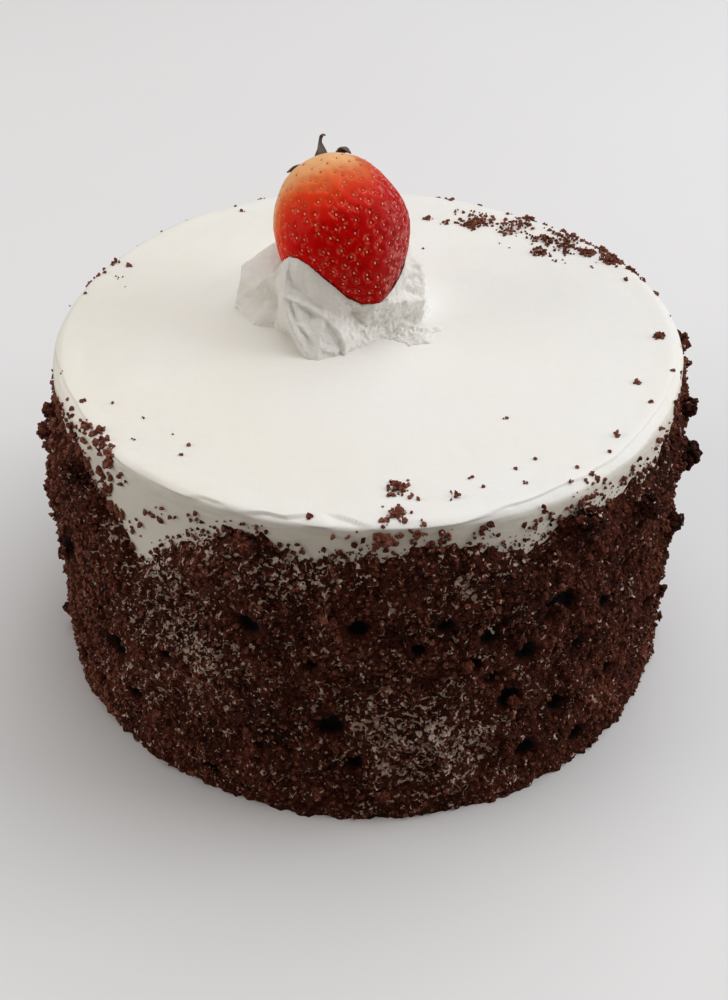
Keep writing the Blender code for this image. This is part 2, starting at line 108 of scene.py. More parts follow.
# The bed that the coat's crumbs lie in
BED_COLUMNS = 740
BED_ROWS = 122
BED_DEPTH = 0.0008  # how far it lies under the coat's surface
BED_RELIEF = ((0.00070, 0.0028, 31), (0.00050, 0.0014, 32))
BED_RAGGED = ((0.0034, 0.0040, 33), (0.0020, 0.0018, 34))
EDGE_RAGGED = ((0.0020, 0.0042, 21), (0.0013, 0.0019, 22))
PIT_DEPTH = 0.0040
PIT_SPREAD = 1.45
WALL_DEGREE = 1.78  # mm round the coat in a degree
PITS = (  # (degrees, height in mm, radius in mm)
    (-91.5, 78, 2.0), (-78, 77, 1.5), (-57.5, 71, 3.4), (-66.3, 42, 2.2), (-62.4, 17, 2.4),
    (-50.5, 10, 2.4), (-109, 73, 2.4), (-139, 37, 2.4), (-152, 65, 2.4), (-155, 57, 2.2),
    (-135, 21, 2.0), (-96, 38, 2.6), (-63.9, 59, 2.2), (-70.5, 69, 2.0), (-72.7, 60, 1.4),
    (-69.6, 52, 1.6), (-92, 23, 1.5), (-56.4, 31, 1.8), (-42, 28, 1.8), (-48, 40, 1.7),
    (-52.8, 51, 1.7), (-46, 61, 1.5), (-41, 71, 1.5), (-29, 38, 2.0), (-36, 50, 1.5), (-118, 8, 1.5),
    (-25, 60, 2.0), (-82, 69, 1.3), (-99, 62, 1.3), (-126, 48, 1.5), (-143, 50, 1.3), (-160, 35, 1.3),
    (-149, 22, 1.4), (15, 40, 1.8), (52, 27, 1.5), (71, 63, 1.9), (107, 48, 1.3), (141, 30, 1.7),
    (166, 52, 1.3), (-5, 72, 1.4), (33, 62, 1.3), (96, 78, 1.5), (122, 20, 1.6), (-173, 66, 1.2),
)
CREAM_PATCHES = (  # (degrees, height in mm, half-width in degrees, half-height, strength)
    (-79, 30, 11, 20, 1.0), (-92, 48, 6, 12, 0.45), (-121, 58, 12, 20, 0.75),
    (-75, 88, 4, 5, 0.8), (-104, 92, 9, 8, 0.6), (-126, 84, 7, 8, 0.9), (-136, 26, 7, 14, 0.45),
    (-31, 88, 4, 5, 0.3), (20, 50, 14, 24, 0.4),
    (60, 70, 12, 16, 0.6), (95, 35, 12, 18, 0.7), (150, 60, 14, 20, 0.5), (118, 86, 9, 8, 0.7),
)
LEFT_MIDDLE = -178  # where the coat's side with painted light on its crumbs faces, in degrees
# How much lighter the crumbs on that side are made: painted light.
LEFT_PAINTED_LIGHT = 2.8
FRONT_MIDDLE = -108  # where the coat's upper edge is sharpest, in degrees

# The coat's crumbs, and the lumps stuck together from them. The part's source has the big lumps
# too, but for those at -38, -22 and -24 degrees, and the one at -54 degrees is smaller there.
COAT_CRUMBS = (  # (name, spacing, (least, most) radius, how far cream thins them, faces, unevenness)
    ("large", 2.65 * MM, (0.00055, 0.00100), 1.0, 20, 0.40),
    ("medium", 2.95 * MM, (0.00036, 0.00062), 0.7, 20, 0.40),
    ("small", 2.15 * MM, (0.00022, 0.00044), 0.4, 8, 0.25),
)
BIG_LUMPS = (  # (degrees, height, radius)
    (-16.5, 0.0835, 0.0052), (-15, 0.0995, 0.0034), (-15, 0.0950, 0.0020),
    (1.5, 0.1045, 0.0028), (-164, 0.0990, 0.0020), (-165, 0.0690, 0.0022),
    (-147, 0.0965, 0.0034), (-142, 0.0905, 0.0030), (-109, 0.1020, 0.0030),
    (-54, 0.1010, 0.0045), (-38, 0.0905, 0.0041), (-22, 0.0640, 0.0036), (-24, 0.0380, 0.0024),
    (-58, 0.0700, 0.0026), (38, 0.0980, 0.0036), (78, 0.0860, 0.0022), (131, 0.0950, 0.0034),
    (156, 0.0720, 0.0026), (3, 0.0620, 0.0030),
)
LUMP_SPACING = 21 * MM
LUMP_SHARE = 0.75  # share of the other lumps' places that hold one

# Crumbs dropped on the cream: (x, y, spread, count) in mm
TOP_CLUSTERS = (
    (8, -84, 2.2, 26), (7.5, -95, 2.4, 30), (4.5, -98.6, 1.1, 9), (15, -99.5, 1.0, 6),
    (12, -88, 1.2, 8), (24, -87, 1.8, 9), (43, -81, 0.6, 4), (28, -79, 0.6, 3), (31.5, -83, 0.4, 2),
    (47, -70, 0.6, 4), (41, -75, 0.5, 3), (40.5, -50, 0.5, 5), (71, -59, 0.9, 9), (68, -67, 0.6, 3),
    (81, -31, 0.9, 9), (92, -5, 1.3, 16), (83.5, -42, 0.5, 3), (58, -74, 0.5, 3),
    (56, -80, 0.6, 4), (62, -77, 2.4, 7), (-15.5, -96, 0.7, 6), (-52.5, -67.5, 0.5, 3),
    (-50.5, -63, 0.4, 3), (-84, -42, 0.7, 5), (-75, -43, 0.3, 1), (-65, -50, 0.4, 2),
    (-66, -61, 1.2, 3), (-77, -57, 1.1, 20), (-80, -55, 1.3, 12), (-83, -52, 1.6, 8),
    (-75, -61, 1.6, 12), (-73, -64, 1.4, 6), (-88, -46, 1.6, 8), (-56, -58, 0.3, 1),
    (-86, 43, 1.4, 10), (-81, 41, 1.0, 7), (-94.5, 31, 1.2, 12), (-84, 33, 0.8, 4),
    (-91, 34, 1.6, 6), (-81, 27, 0.5, 1), (-93, 22, 0.8, 3), (-45, 82, 0.5, 3),
    (-65, 77, 0.6, 3), (-40, 96, 1.4, 6), (-48, 86, 0.5, 2), (22, 76, 0.9, 9), (29, 72, 2.0, 8),
    (38, 71.5, 3.0, 34), (44, 74, 3.4, 10), (35, 80, 3.0, 6), (50, 66, 2.0, 14), (59, 78, 2.2, 24),
    (56, 70, 3.0, 12), (62, 60, 3.2, 22), (60, 51, 2.6, 20), (69, 54, 3.0, 18), (76, 50, 2.4, 26),
    (83, 54, 2.6, 26), (84, 45, 2.8, 30), (90, 39, 1.6, 18), (93, 33, 1.4, 9), (97, 25, 1.2, 8),
    (87, 31, 0.8, 6), (77, 40, 0.8, 4), (70, 66, 4.0, 14), (78, 60, 2.6, 12), (27, 97, 1.0, 7),
    (31, 91, 1.4, 7), (42, 90, 1.1, 7), (33, 83, 0.7, 2), (66, 45, 2.0, 5), (98, 9, 0.4, 1),
    (93, -25, 0.5, 2), (89, -53, 0.7, 4), (-93, -25, 0.5, 2), (20, 54, 0.4, 1),
    (40, 75, 5.0, 20), (53, 70, 5.5, 26), (71, 59, 6.0, 32), (85, 46, 4.0, 22),
)
HEAP_COUNT = 15  # a cluster of more crumbs than this is a heap
HEAP_GROWTH = 2.2  # crumbs in a heap for each one that is counted
BAND_CLUSTERS = (  # on the wall above the coat: (degrees, height in mm, spread, count, size)
    (-118, 105, 2.6, 5, 1.0), (-124.5, 102, 1.8, 5, 1.0), (-128, 98, 1.2, 3, 1.3),
    (-126.7, 98.5, 0.8, 3, 1.4), (-131, 92, 1.0, 3, 1.3), (-133, 88, 2.0, 5, 1.2),
    (-137.5, 110, 1.3, 5, 1.5), (-137.3, 107.5, 0.5, 6, 2.0), (-141, 109.5, 1.0, 5, 1.6),
    (-141, 101.5, 0.9, 8, 1.5), (-138, 102.5, 0.8, 3, 1.3), (-134, 104.5, 1.0, 4, 1.3),
    (-137.5, 98, 1.6, 4, 1.2), (-139.5, 96, 0.9, 6, 1.7), (-138.3, 91.5, 0.9, 6, 1.5),
    (-136, 91, 1.8, 6, 1.2), (-144.5, 99, 1.2, 8, 1.4), (-147.5, 101.5, 1.2, 6, 1.2),
    (-146.5, 110, 1.2, 4, 1.2), (-151, 106, 1.8, 14, 1.1), (-156, 108, 1.8, 16, 1.1),
    (-160, 106, 1.6, 12, 1.1), (-148.5, 104.5, 1.2, 6, 1.1), (-86, 108, 1.4, 7, 1.0),
    (-87.6, 107.2, 1.3, 14, 1.6), (-88.5, 104.5, 1.0, 5, 1.2), (-93, 106, 2.4, 6, 1.0),
    (-72, 106, 1.6, 5, 1.0), (-79, 105, 1.4, 9, 1.4), (-82, 108.5, 1.0, 9, 1.3),
    (-62, 105, 2.6, 10, 1.0), (-50, 106, 2.4, 10, 1.0), (-42, 104, 2.8, 10, 1.1),
    (-31, 105, 2.2, 6, 1.2), (-22, 106, 1.6, 5, 1.2), (22, 102, 3.0, 12, 1.0),
    (36, 107, 2.6, 14, 1.0), (48, 108, 2.4, 16, 1.0), (90, 103, 3.0, 12, 1.0),
    (112, 98, 3.0, 12, 1.2), (138, 106, 2.6, 10, 1.0), (163, 106, 3.0, 10, 1.2),
    (-177, 95, 3.0, 10, 1.2), (-165, 104, 2.4, 8, 1.0),
)

# The dollop, in mm. It has the part's outline, with a finer tongue, more hollows and crisper creases.
DOLLOP_MIDDLE = (-9, 12, 0)
DOLLOP_OUTLINE = (
    (-43, 16), (-40, 7.5), (-37, 2.5), (-30, 0.5), (-24.5, -3.5), (-22.5, -9), (-19.5, -17),
    (-15.5, -19), (-10.5, -16.5), (-6, -14.5), (0, -9.5), (6, -3.5), (13, 0.5), (18, 4.5),
    (20.5, 16), (18, 30), (8, 43), (-10, 47), (-28, 43), (-41, 31),
)
DOLLOP_CREASES = (  # (how far the cream sinks beside it, over what angle, further fall, points)
    # from the peak down the left flap
    (4.0, 0.12, 13, ((-24, -0.5, 26), (-28.5, 2.5, 19.5), (-33, 7, 13.5), (-40.5, 12.5, 6),
                     (-43, 13.5, 2.5))),
    # the fold that runs from the peak to the foot
    (3.5, 0.08, 15, ((-24, -0.5, 26), (-25.5, -3, 21), (-26, -8, 16.5), (-25, -11, 12),
                     (-23, -14, 8), (-20.5, -16.5, 4), (-18, -18.5, 0.5))),
    # the tongue's upper edge, the ledge over it and its lower edge
    (3.0, 0.10, 12, ((-26, -8, 16.5), (-22.5, -9, 15.5), (-18.2, -9.7, 13.8), (-12.9, -11.7, 10.5),
                     (-8.8, -13.7, 7.2), (-6.8, -15, 3.8), (-7, -16, 0.8))),
    (1.2, 0.18, 11, ((-25, -7, 16.3), (-17, -6.5, 15.9), (-11, -7, 15.2))),
    (2.0, 0.07, 14, ((-23, -9.5, 14.5), (-21.5, -12, 9.5), (-17, -15.5, 5), (-13, -17.5, 2.5),
                     (-10, -16.5, 1))),
    # the rim round the strawberry
    (2.0, 0.16, 12, ((-24, -0.5, 26), (-21.5, -2.5, 26.5), (-18.5, -4.5, 25.5), (-15, -5.5, 21.5),
                     (-11, -6.5, 18.5), (-6, -6.5, 14.5), (-1.5, -6.5, 12.5), (2.5, -7, 12.5),
                     (6.5, -4.5, 13.5), (9.5, 0.5, 16), (12, 6.5, 18.5), (13, 13, 19.5),
                     (14, 19, 18))),
    # the right lobe, the left lobe and the back
    (3.5, 0.16, 14, ((13.5, 17, 18.5), (17.5, 14, 16), (18.5, 10, 12), (18.5, 5.5, 7.5),
                     (18, 4, 2))),
    (3.5, 0.14, 12, ((-29.5, 27, 17), (-35.5, 24, 14.5), (-41, 20, 12), (-41, 15.5, 10.5),
                     (-42.5, 15.5, 3))),
    (3.5, 0.18, 12, ((-29.5, 27, 17), (-22, 37, 14), (-8, 42, 14), (6, 38, 13.5), (14, 28, 16),
                     (14, 19, 17.5))),
    # the right shoulder in front
    (3.0, 0.16, 12, ((2.5, -7, 12.5), (8, -4, 12), (13.5, 0, 10.5), (18, 5.5, 7.5))),
)
DOLLOP_HOLLOWS = (  # (point it faces, depth, angle); a swelling is a depth below zero
    ((-20, -6.5, 19), 1.1, 0.15), ((-15, -14, 9), 1.4, 0.17), ((-33, 2, 9), 2.0, 0.16),
    ((-32, 14, 16), 1.2, 0.20), ((-24, -12.5, 8.5), -0.5, 0.09), ((-17, -11.5, 8), -0.8, 0.13),
    ((-40, 8.3, 11), -0.8, 0.07), ((-34.5, 8.4, 14), -0.9, 0.07), ((-31, 7.7, 17), -0.8, 0.07),
    ((-36, 5.6, 6), 2.0, 0.12), ((-30, 3, 9), 1.8, 0.12),
)
CREASE_ROUND = 0.008
CREASE_STEP = 0.6
SKIRT_SOFT = 0.8  # how gently the creases run into the skirt
DOLLOP_COLUMNS = 370
DOLLOP_ROWS = 100
BERRY_ROOM = 0.0004  # how far the dollop keeps from the strawberry

# The smear right of the dollop, in mm
SMEAR_MIDDLE = (14.0, -4.0)
SMEAR_REACH = (9.0, 5.0)
SMEAR_HEIGHT = 1.5
SMEAR_TURN = ((0.94, 0.34, 0), (-0.34, 0.94, 0), (0, 0, 1))
SMEAR_EDGE = ((0.45, 0.55, 71), (0.16, 0.14, 74))

# The strawberry's form, as in the part's source, in its own frame: +Z runs to the stem
BERRY_LENGTH = 0.0525
BERRY_RADIUS = 0.0211
BERRY_WIDEST = 0.55  # share of the length from the stem
BERRY_MIDDLE = Vector((-0.0072, 0.0140, 0.1375))
BERRY_TILT = 55  # degrees back from upright
BERRY_LEAN = 23.5  # degrees to -X
STEM_DIMPLE = 0.0022

# Its skin and seeds
BERRY_COLUMNS = 300
BERRY_ROWS = 120
BERRY_PUFF = ((0.00022, 0.0075, 51), (0.00010, 0.0030, 52))
RIPE_DRIFT = ((0.030, 0.008, 53), (0.018, 0.003, 54))
SEED_COUNT = 420
SEED_SIZE = (0.00032, 0.00020, 0.00050)
SEED_LIFT = 0.00008
SEED_PIT = 0.00042  # how deep a seed's pit is
SEED_PIT_REACH = 0.00085
PILLOW_RISE = 0.00016  # how far the skin swells between the pits

# The calyx, in the strawberry's frame
SEPALS = (  # (degrees round the stem, (distance out, height, width) along it), in mm
    (120, ((1.2, 0.3, 2.6), (5.0, 1.0, 6.2), (6.2, 3.1, 4.6), (6.8, 5.6, 0.8), (8.4, 7.2, 1.4),
           (9.2, 6.2, 1.3))),
    (140, ((1.2, 0.3, 2.8), (5.0, 0.4, 3.8), (9.0, 0.2, 4.2), (10.5, 0.9, 4.4), (11.7, 0.9, 4.0),
           (12.7, -0.4, 3.2), (13.1, -2.2, 1.6))),
    (159, ((1.2, 0.3, 2.6), (6.0, 0.3, 4.4), (10.0, -0.8, 4.2), (13.5, -2.8, 2.2), (16.0, -4.8, 0.4))),
    (20, ((1.2, 0.3, 2.6), (5.0, 0.2, 3.4), (8.0, 0.3, 3.4), (9.5, -0.2, 3.0), (11.2, -1.4, 0.8))),
    (60, ((1.2, 0.3, 2.2), (3.4, 0.2, 2.8), (4.8, 0.1, 0.6))),
    (198, ((1.2, 0.3, 2.6), (5.0, 0.5, 5.2), (9.0, 0.9, 4.0), (12.5, 0.6, 0.4))),
    (238, ((1.2, 0.3, 2.6), (6.0, 0.6, 5.2), (10.0, -0.4, 3.8), (13.0, -2.4, 0.4))),
    (278, ((1.2, 0.3, 2.6), (5.0, 0.6, 5.0), (8.5, 0.5, 3.6), (11.0, -0.4, 0.4))),
    (318, ((1.2, 0.3, 2.6), (6.0, 0.7, 5.2), (10.0, 0.0, 3.8), (13.5, -2.2, 0.4))),
)
SEPAL_THICKNESS = 0.0005
SEPAL_CUP = 45  # how fast a leaf's edges rise, in metres for each square metre across
CURLED_UNDER = {140: -260}  # the same, for the leaf at that many degrees, whose edges hang
SEPAL_ROWS = 28
SEPAL_COLUMNS = 9
HUB_PROFILE = (  # (radius, height) of the stem's round base
    (0, -0.0004), (0.0034, -0.0004), (0.0036, 0.0002), (0.0029, 0.0010), (0.0017, 0.0014),
    (0.0014, 0.0015), (0.0015, 0.0017), (0.0012, 0.0018), (0, 0.0016),
)
HUB_COLUMNS = 24

# Light and camera
LIGHTS = (  # (name, place, what it faces, size, power, colour)
    ("overhead", (0.70, 0.62, 2.25), (0, 0, 0.1), 2.9, 51, (0.975, 1.0, 1.022)),
    ("right_fill", (1.4, 0.02, 0.55), (0, 0, 0.08), 0.9, 8.6, (1.0, 0.99, 0.98)),
    ("left_fill", (-1.4, -0.15, 0.6), (0, 0, 0.08), 1.0, 7.6, (1.0, 0.97, 0.93)),
)
SKY_COLOUR = (1.0, 0.88, 0.77, 1)
SKY_STRENGTH = 0.20
FLOOR_REACH = 6
CAMERA_PLACE = (-0.00098, -0.38620, 0.34360)
CAMERA_PITCH = 52  # degrees up from straight down
CAMERA_LENS = 50.6


# ---- small helpers


def wobble(points, size, seed):
    """Smooth noise from -1 to 1 at each point, its bumps about as wide as size."""
    at = np.asarray(points, float) / size
    cell = np.floor(at).astype(np.int64)
    ease = (at - cell) ** 2 * (3 - 2 * (at - cell))
    total = np.zeros(at.shape[:-1])
    for corner in range(8):
        step = np.array([corner & 1, corner >> 1 & 1, corner >> 2 & 1])
        key = (cell + step) @ np.array([374761393, 668265263, 362437]) + seed * 1274126177
        key = ((key & 0xFFFFFFFF) ^ ((key & 0xFFFFFFFF) >> 13)) * 1274126177 & 0xFFFFFFFF
        value = ((key ^ key >> 16) & 0xFFFF) / 32767.5 - 1
        total += value * np.prod(np.where(step, ease, 1 - ease), axis=-1)
    return total


def waves(points, *layers):
    """The sum of noises that are given as (height, size, seed)."""
    return sum(height * wobble(points, size, seed) for height, size, seed in layers)


def waves_round(angle, *layers):
    """The same round the cake, alike at every height."""
    return waves(polar(0.1, angle, 0 * angle), *layers)


def smooth_step(low, high, value):
    share = np.clip((value - low) / (high - low), 0, 1)
    return share * share * (3 - 2 * share)


def polar(radius, angle, height):
    return np.stack(np.broadcast_arrays(radius * np.cos(angle), radius * np.sin(angle), height), -1)


def degrees_from(at, angle):
    """Degrees from one direction to an angle, from -180 to 180."""
    return (np.degrees(angle) - at + 180) % 360 - 180


def all_round(rows, columns):
    """For each of the rows a ring of its value, and a ring of angles."""
    return np.meshgrid(rows, np.linspace(-np.pi, np.pi, columns, endpoint=False), indexing="ij")


def solid(name, points, faces):
    """A mesh object from arrays of points and of faces, which all have as many corners."""
    mesh = bpy.data.meshes.new(name)
    points = np.asarray(points, np.float32).reshape(-1, 3)
    count, sides = faces.shape
    mesh.vertices.add(len(points))
    mesh.vertices.foreach_set("co", points.ravel())
    mesh.loops.add(count * sides)
    mesh.loops.foreach_set("vertex_index", faces.astype(np.int32).ravel())
    mesh.polygons.add(count)
    mesh.polygons.foreach_set("loop_start", np.arange(0, count * sides, sides, dtype=np.int32))
    mesh.update(calc_edges=True)
    made = bpy.data.objects.new(name, mesh)
    bpy.context.scene.collection.objects.link(made)
    return made


def ring_faces(rows, columns):
    """The faces between rings of points."""
    i, j = np.meshgrid(np.arange(rows - 1), np.arange(columns), indexing="ij")
    a, b = i * columns + j, i * columns + (j + 1) % columns
    return np.stack([a, b, b + columns, a + columns], -1).reshape(-1, 4)


def rings(name, grid):
    """A closed skin from rings of points, lowest first; a ring of one repeated point is a pole."""
    rows, columns = grid.shape[:2]
    made = solid(name, grid, ring_faces(rows, columns))
    shape = bmesh.new()
    shape.from_mesh(made.data)
    ends = [v for v in shape.verts if v.index < columns or v.index >= (rows - 1) * columns]
    bmesh.ops.remove_doubles(shape, verts=ends, dist=1e-7)
    shape.to_mesh(made.data)
    shape.free()
    return made


def repeated(faces, count, points):
    """The faces of one form again for each of count forms that have as many points."""
    return (faces[None] + np.arange(count)[:, None, None] * points).reshape(-1, 3)


def note(obj, name, values):
    """Keeps a number at each vertex for the material to read."""
    kept = obj.data.attributes.new(name, "FLOAT", "POINT")
    kept.data.foreach_set("value", np.asarray(values, np.float32))


def corners(obj, what="co"):
    """The place of each vertex, or its normal."""
    found = np.zeros(len(obj.data.vertices) * 3)
    obj.data.vertices.foreach_get(what, found)
    return found.reshape(-1, 3)


def tree_of(obj):
    return BVHTree.FromPolygons(
        [v.co for v in obj.data.vertices], [tuple(p.vertices) for p in obj.data.polygons]
    )


# ---- forms shared with the part's source


def outline(angle):
    wave = sum(a * np.cos(n * angle + math.radians(p)) for n, a, p in OUTLINE_WAVES)
    return CAKE_RADIUS * (1 + wave)


def coat_edge(angle):
    height = np.full(np.shape(angle), COAT_EDGE)
    for at, dip, width in COAT_SAGS:
        height = height - dip * np.exp(-((degrees_from(at, angle) / width) ** 2))
    return height


def coat_surface(angle, height):
    below = coat_edge(angle) - height
    share = 0.38 + 0.62 * smooth_step(-0.002, 0.014, below)
    points = polar(CAKE_RADIUS, angle, height).reshape(-1, 3)
    broad = np.array([noise.noise(Vector(p / COAT_RELIEF_SIZE)) for p in points])
    fine = np.array([noise.noise(Vector(p / COAT_RELIEF_SIZE * 7.3)) for p in points])
    relief = (COAT_RELIEF * broad + COAT_GRAIN * fine).reshape(np.shape(below))
    relief = relief * np.minimum(1, 0.5 + height / 0.030)
    thickness = COAT_THICKNESS - COAT_LEAN * np.cos(angle) + COAT_FOOT * np.exp(-height / 0.020)
    return outline(angle) + np.maximum((thickness + relief) * share, 0.0012)


def crease_points():
    """Rows along the creases: their direction, distance, sink, width and fall."""
    middle = np.array(DOLLOP_MIDDLE, float)
    found = []
    for sink, width, fall, crease in DOLLOP_CREASES:
        points = np.array(crease) - middle
        for start, end in zip(points, points[1:]):
            count = max(1, round(float(np.linalg.norm(end - start)) / CREASE_STEP))
            for i in range(count + 1):
                point = start + (end - start) * i / count
                length = float(np.linalg.norm(point))
                found.append((*(point / length), length, sink, width, fall))
    return np.array(found)


def dollop_reach(directions):
    """How far the dollop reaches from its middle in each direction, in mm."""
    middle = np.array(DOLLOP_MIDDLE, float)
    edge = np.array(DOLLOP_OUTLINE) - middle[:2]
    round_it = np.arctan2(edge[:, 1], edge[:, 0])
    order = np.argsort(round_it)
    round_it, far = round_it[order], np.hypot(*edge[order].T)
    whole = np.concatenate([round_it - math.tau, round_it, round_it + math.tau])
    azimuth = np.arctan2(directions[:, 1], directions[:, 0])
    rise = np.arcsin(np.clip(directions[:, 2], 0, 1)) / (math.pi / 2)
    skirt = np.interp(azimuth, whole, np.tile(far, 3)) * (1 - 0.52 * rise**0.85)

    creases = crease_points()
    length, sink, width, fall = creases[:, 3:].T
    ridges = []
    for part in np.array_split(directions, 12):
        apart = np.arccos(np.clip(part @ creases[:, :3].T, -1, 1))
        apart = np.sqrt(apart**2 + CREASE_ROUND**2) - CREASE_ROUND
        ridges.append((length - sink * (1 - np.exp(-apart / width)) - fall * apart).max(axis=1))
    ridges = np.concatenate(ridges)

    mix = np.clip(0.5 + 0.5 * (ridges - skirt) / SKIRT_SOFT, 0, 1)
    reach = skirt * (1 - mix) + ridges * mix + SKIRT_SOFT * mix * (1 - mix)
    for facing, depth, width in DOLLOP_HOLLOWS:
        toward = np.array(facing) - middle
        apart = np.arccos(np.clip(directions @ toward / np.linalg.norm(toward), -1, 1))
        reach -= depth * np.exp(-((apart / width) ** 2))
    return reach


def berry_radius(share):
    off = (BERRY_WIDEST - share) / BERRY_WIDEST
    near = BERRY_RADIUS * np.clip(1 - np.clip(off, 0, 1) ** 2.3, 0, 1) ** 0.48
    off = (share - BERRY_WIDEST) / (1 - BERRY_WIDEST)
    far = BERRY_RADIUS * np.clip(1 - np.clip(off, 0, 1) ** 1.45, 0, 1) ** 0.74
    return np.where(share < BERRY_WIDEST, near, far)


def berry_point(share, angle):
    radius = berry_radius(share) * (1 + 0.018 * np.cos(3 * angle + 0.6) * np.sin(np.pi * share))
    dip = STEM_DIMPLE * np.exp(-((radius / 0.0065) ** 2))
    height = BERRY_LENGTH * (0.5 - share) - np.where(share < BERRY_WIDEST, dip, 0)
    return polar(radius, angle, height)


def berry_skin(rows, columns):
    """The strawberry's skin as rings of points, from its tip to its stem."""
    skin = berry_point(*all_round(0.5 - 0.5 * np.cos(np.pi * np.linspace(1, 0, rows)), columns))
    skin[0, :, :2] = skin[-1, :, :2] = 0
    return skin


def berry_place():
    """The strawberry's place and turn."""
    lean, tilt = math.radians(BERRY_LEAN), math.radians(BERRY_TILT)
    stem = Vector((
        -math.sin(lean), math.sin(tilt) * math.cos(lean), math.cos(tilt) * math.cos(lean)
    ))
    turn = stem.to_track_quat("Z", "Y").to_matrix().to_4x4()
    turn.translation = BERRY_MIDDLE
    return turn


# ---- materials


def add_node(tree, kind, inputs=(), **settings):
    made = tree.nodes.new(kind)
    for name, value in settings.items():
        setattr(made, name, value)
    for socket, value in dict(inputs).items():
        if isinstance(value, bpy.types.NodeSocket):
            tree.links.new(value, made.inputs[socket])
        else:
            made.inputs[socket].default_value = value
    return made


class Finish:
    """A procedural material, built up by its methods. Sizes and depths are in metres."""

    def __init__(self, name, roughness, **constants):
        self.material = bpy.data.materials.new(name)
        self.material.use_nodes = True
        self.tree = self.material.node_tree
        self.shader = self.tree.nodes["Principled BSDF"]
        self.shader.inputs["Roughness"].default_value = roughness
        for socket, value in constants.items():
            self.shader.inputs[socket.replace("_", " ")].default_value = value
        self.place = add_node(self.tree, "ShaderNodeTexCoord").outputs["Object"]

    def stretched(self, scale, turn):
        """The place in space, turned and stretched along an axis."""
        inputs = {"Vector": self.place, "Scale": scale, "Rotation": turn}
        return add_node(self.tree, "ShaderNodeMapping", inputs).outputs["Vector"]

    def noise(self, size, detail=3, roughness=0.55, place=None, distortion=0):
        inputs = {"Vector": place or self.place, "Scale": 1 / size, "Detail": detail,
                  "Roughness": roughness, "Distortion": distortion}
        return add_node(self.tree, "ShaderNodeTexNoise", inputs).outputs["Fac"]

    def cells(self, size):
        """The distance from the borders between cells of that size."""
        inputs = {"Vector": self.place, "Scale": 1 / size}
        made = add_node(self.tree, "ShaderNodeTexVoronoi", inputs, feature="DISTANCE_TO_EDGE")
        return made.outputs["Distance"]

    def kept(self, name):
        return add_node(self.tree, "ShaderNodeAttribute", attribute_name=name).outputs["Fac"]

    def ramp(self, value, *stops):
        """Colours or shades along a value: (position, colour) or (position, shade)."""
        made = add_node(self.tree, "ShaderNodeValToRGB", {"Fac": value})
        elements = made.color_ramp.elements
        while len(elements) < len(stops):
            elements.new(0.5)
        for element, (position, colour) in zip(elements, stops):
            element.position = position
            if isinstance(colour, (int, float)):
                colour = (colour,) * 3
            element.color = (*colour, 1)
        return made.outputs["Color"]

    def blend(self, share, first, second):
        made = add_node(self.tree, "ShaderNodeMix", {0: share}, data_type="RGBA")
        for socket, value in ((6, first), (7, second)):
            if isinstance(value, bpy.types.NodeSocket):
                self.tree.links.new(value, made.inputs[socket])
            else:
                made.inputs[socket].default_value = (*value, 1)
        return made.outputs[2]

    def plus(self, first, second, how="ADD"):
        return add_node(self.tree, "ShaderNodeMath", {0: first, 1: second}, operation=how).outputs[0]

    def times(self, first, second):
        return self.plus(first, second, "MULTIPLY")

    def bump(self, height, depth, strength):
        """Adds bumps of that depth to what is there."""
        socket = self.shader.inputs["Normal"]
        inputs = {"Height": height, "Distance": depth, "Strength": strength}
        if socket.links:
            inputs["Normal"] = socket.links[0].from_socket
        made = add_node(self.tree, "ShaderNodeBump", inputs)
        self.tree.links.new(made.outputs["Normal"], socket)

    def link(self, value, socket="Base Color"):
        self.tree.links.new(value, self.shader.inputs[socket])


def cream_finish(name, pale, warm_tint_and_bounce, grain):
    made = Finish(name, 0.5, Subsurface_Weight=0.15, Subsurface_Radius=(1.0, 0.82, 0.62),
                  Subsurface_Scale=0.0008)
    drift = made.ramp(made.noise(0.055, 2), (0.36, 0.0), (0.66, 0.5))
    # The kept value adds to the drift; on the cake's wall it is painted bounce light, tinted yellower.
    made.link(made.blend(made.plus(drift, made.kept("warm_tint_and_bounce")), pale, warm_tint_and_bounce))
    made.link(made.ramp(made.noise(0.006, 4), (0.3, 0.40), (0.7, 0.60)), "Roughness")
    made.bump(made.noise(0.0045, 5, 0.6), 0.0005, grain)
    made.bump(made.noise(0.0009, 3, 0.6), 0.00010, grain)
    return made


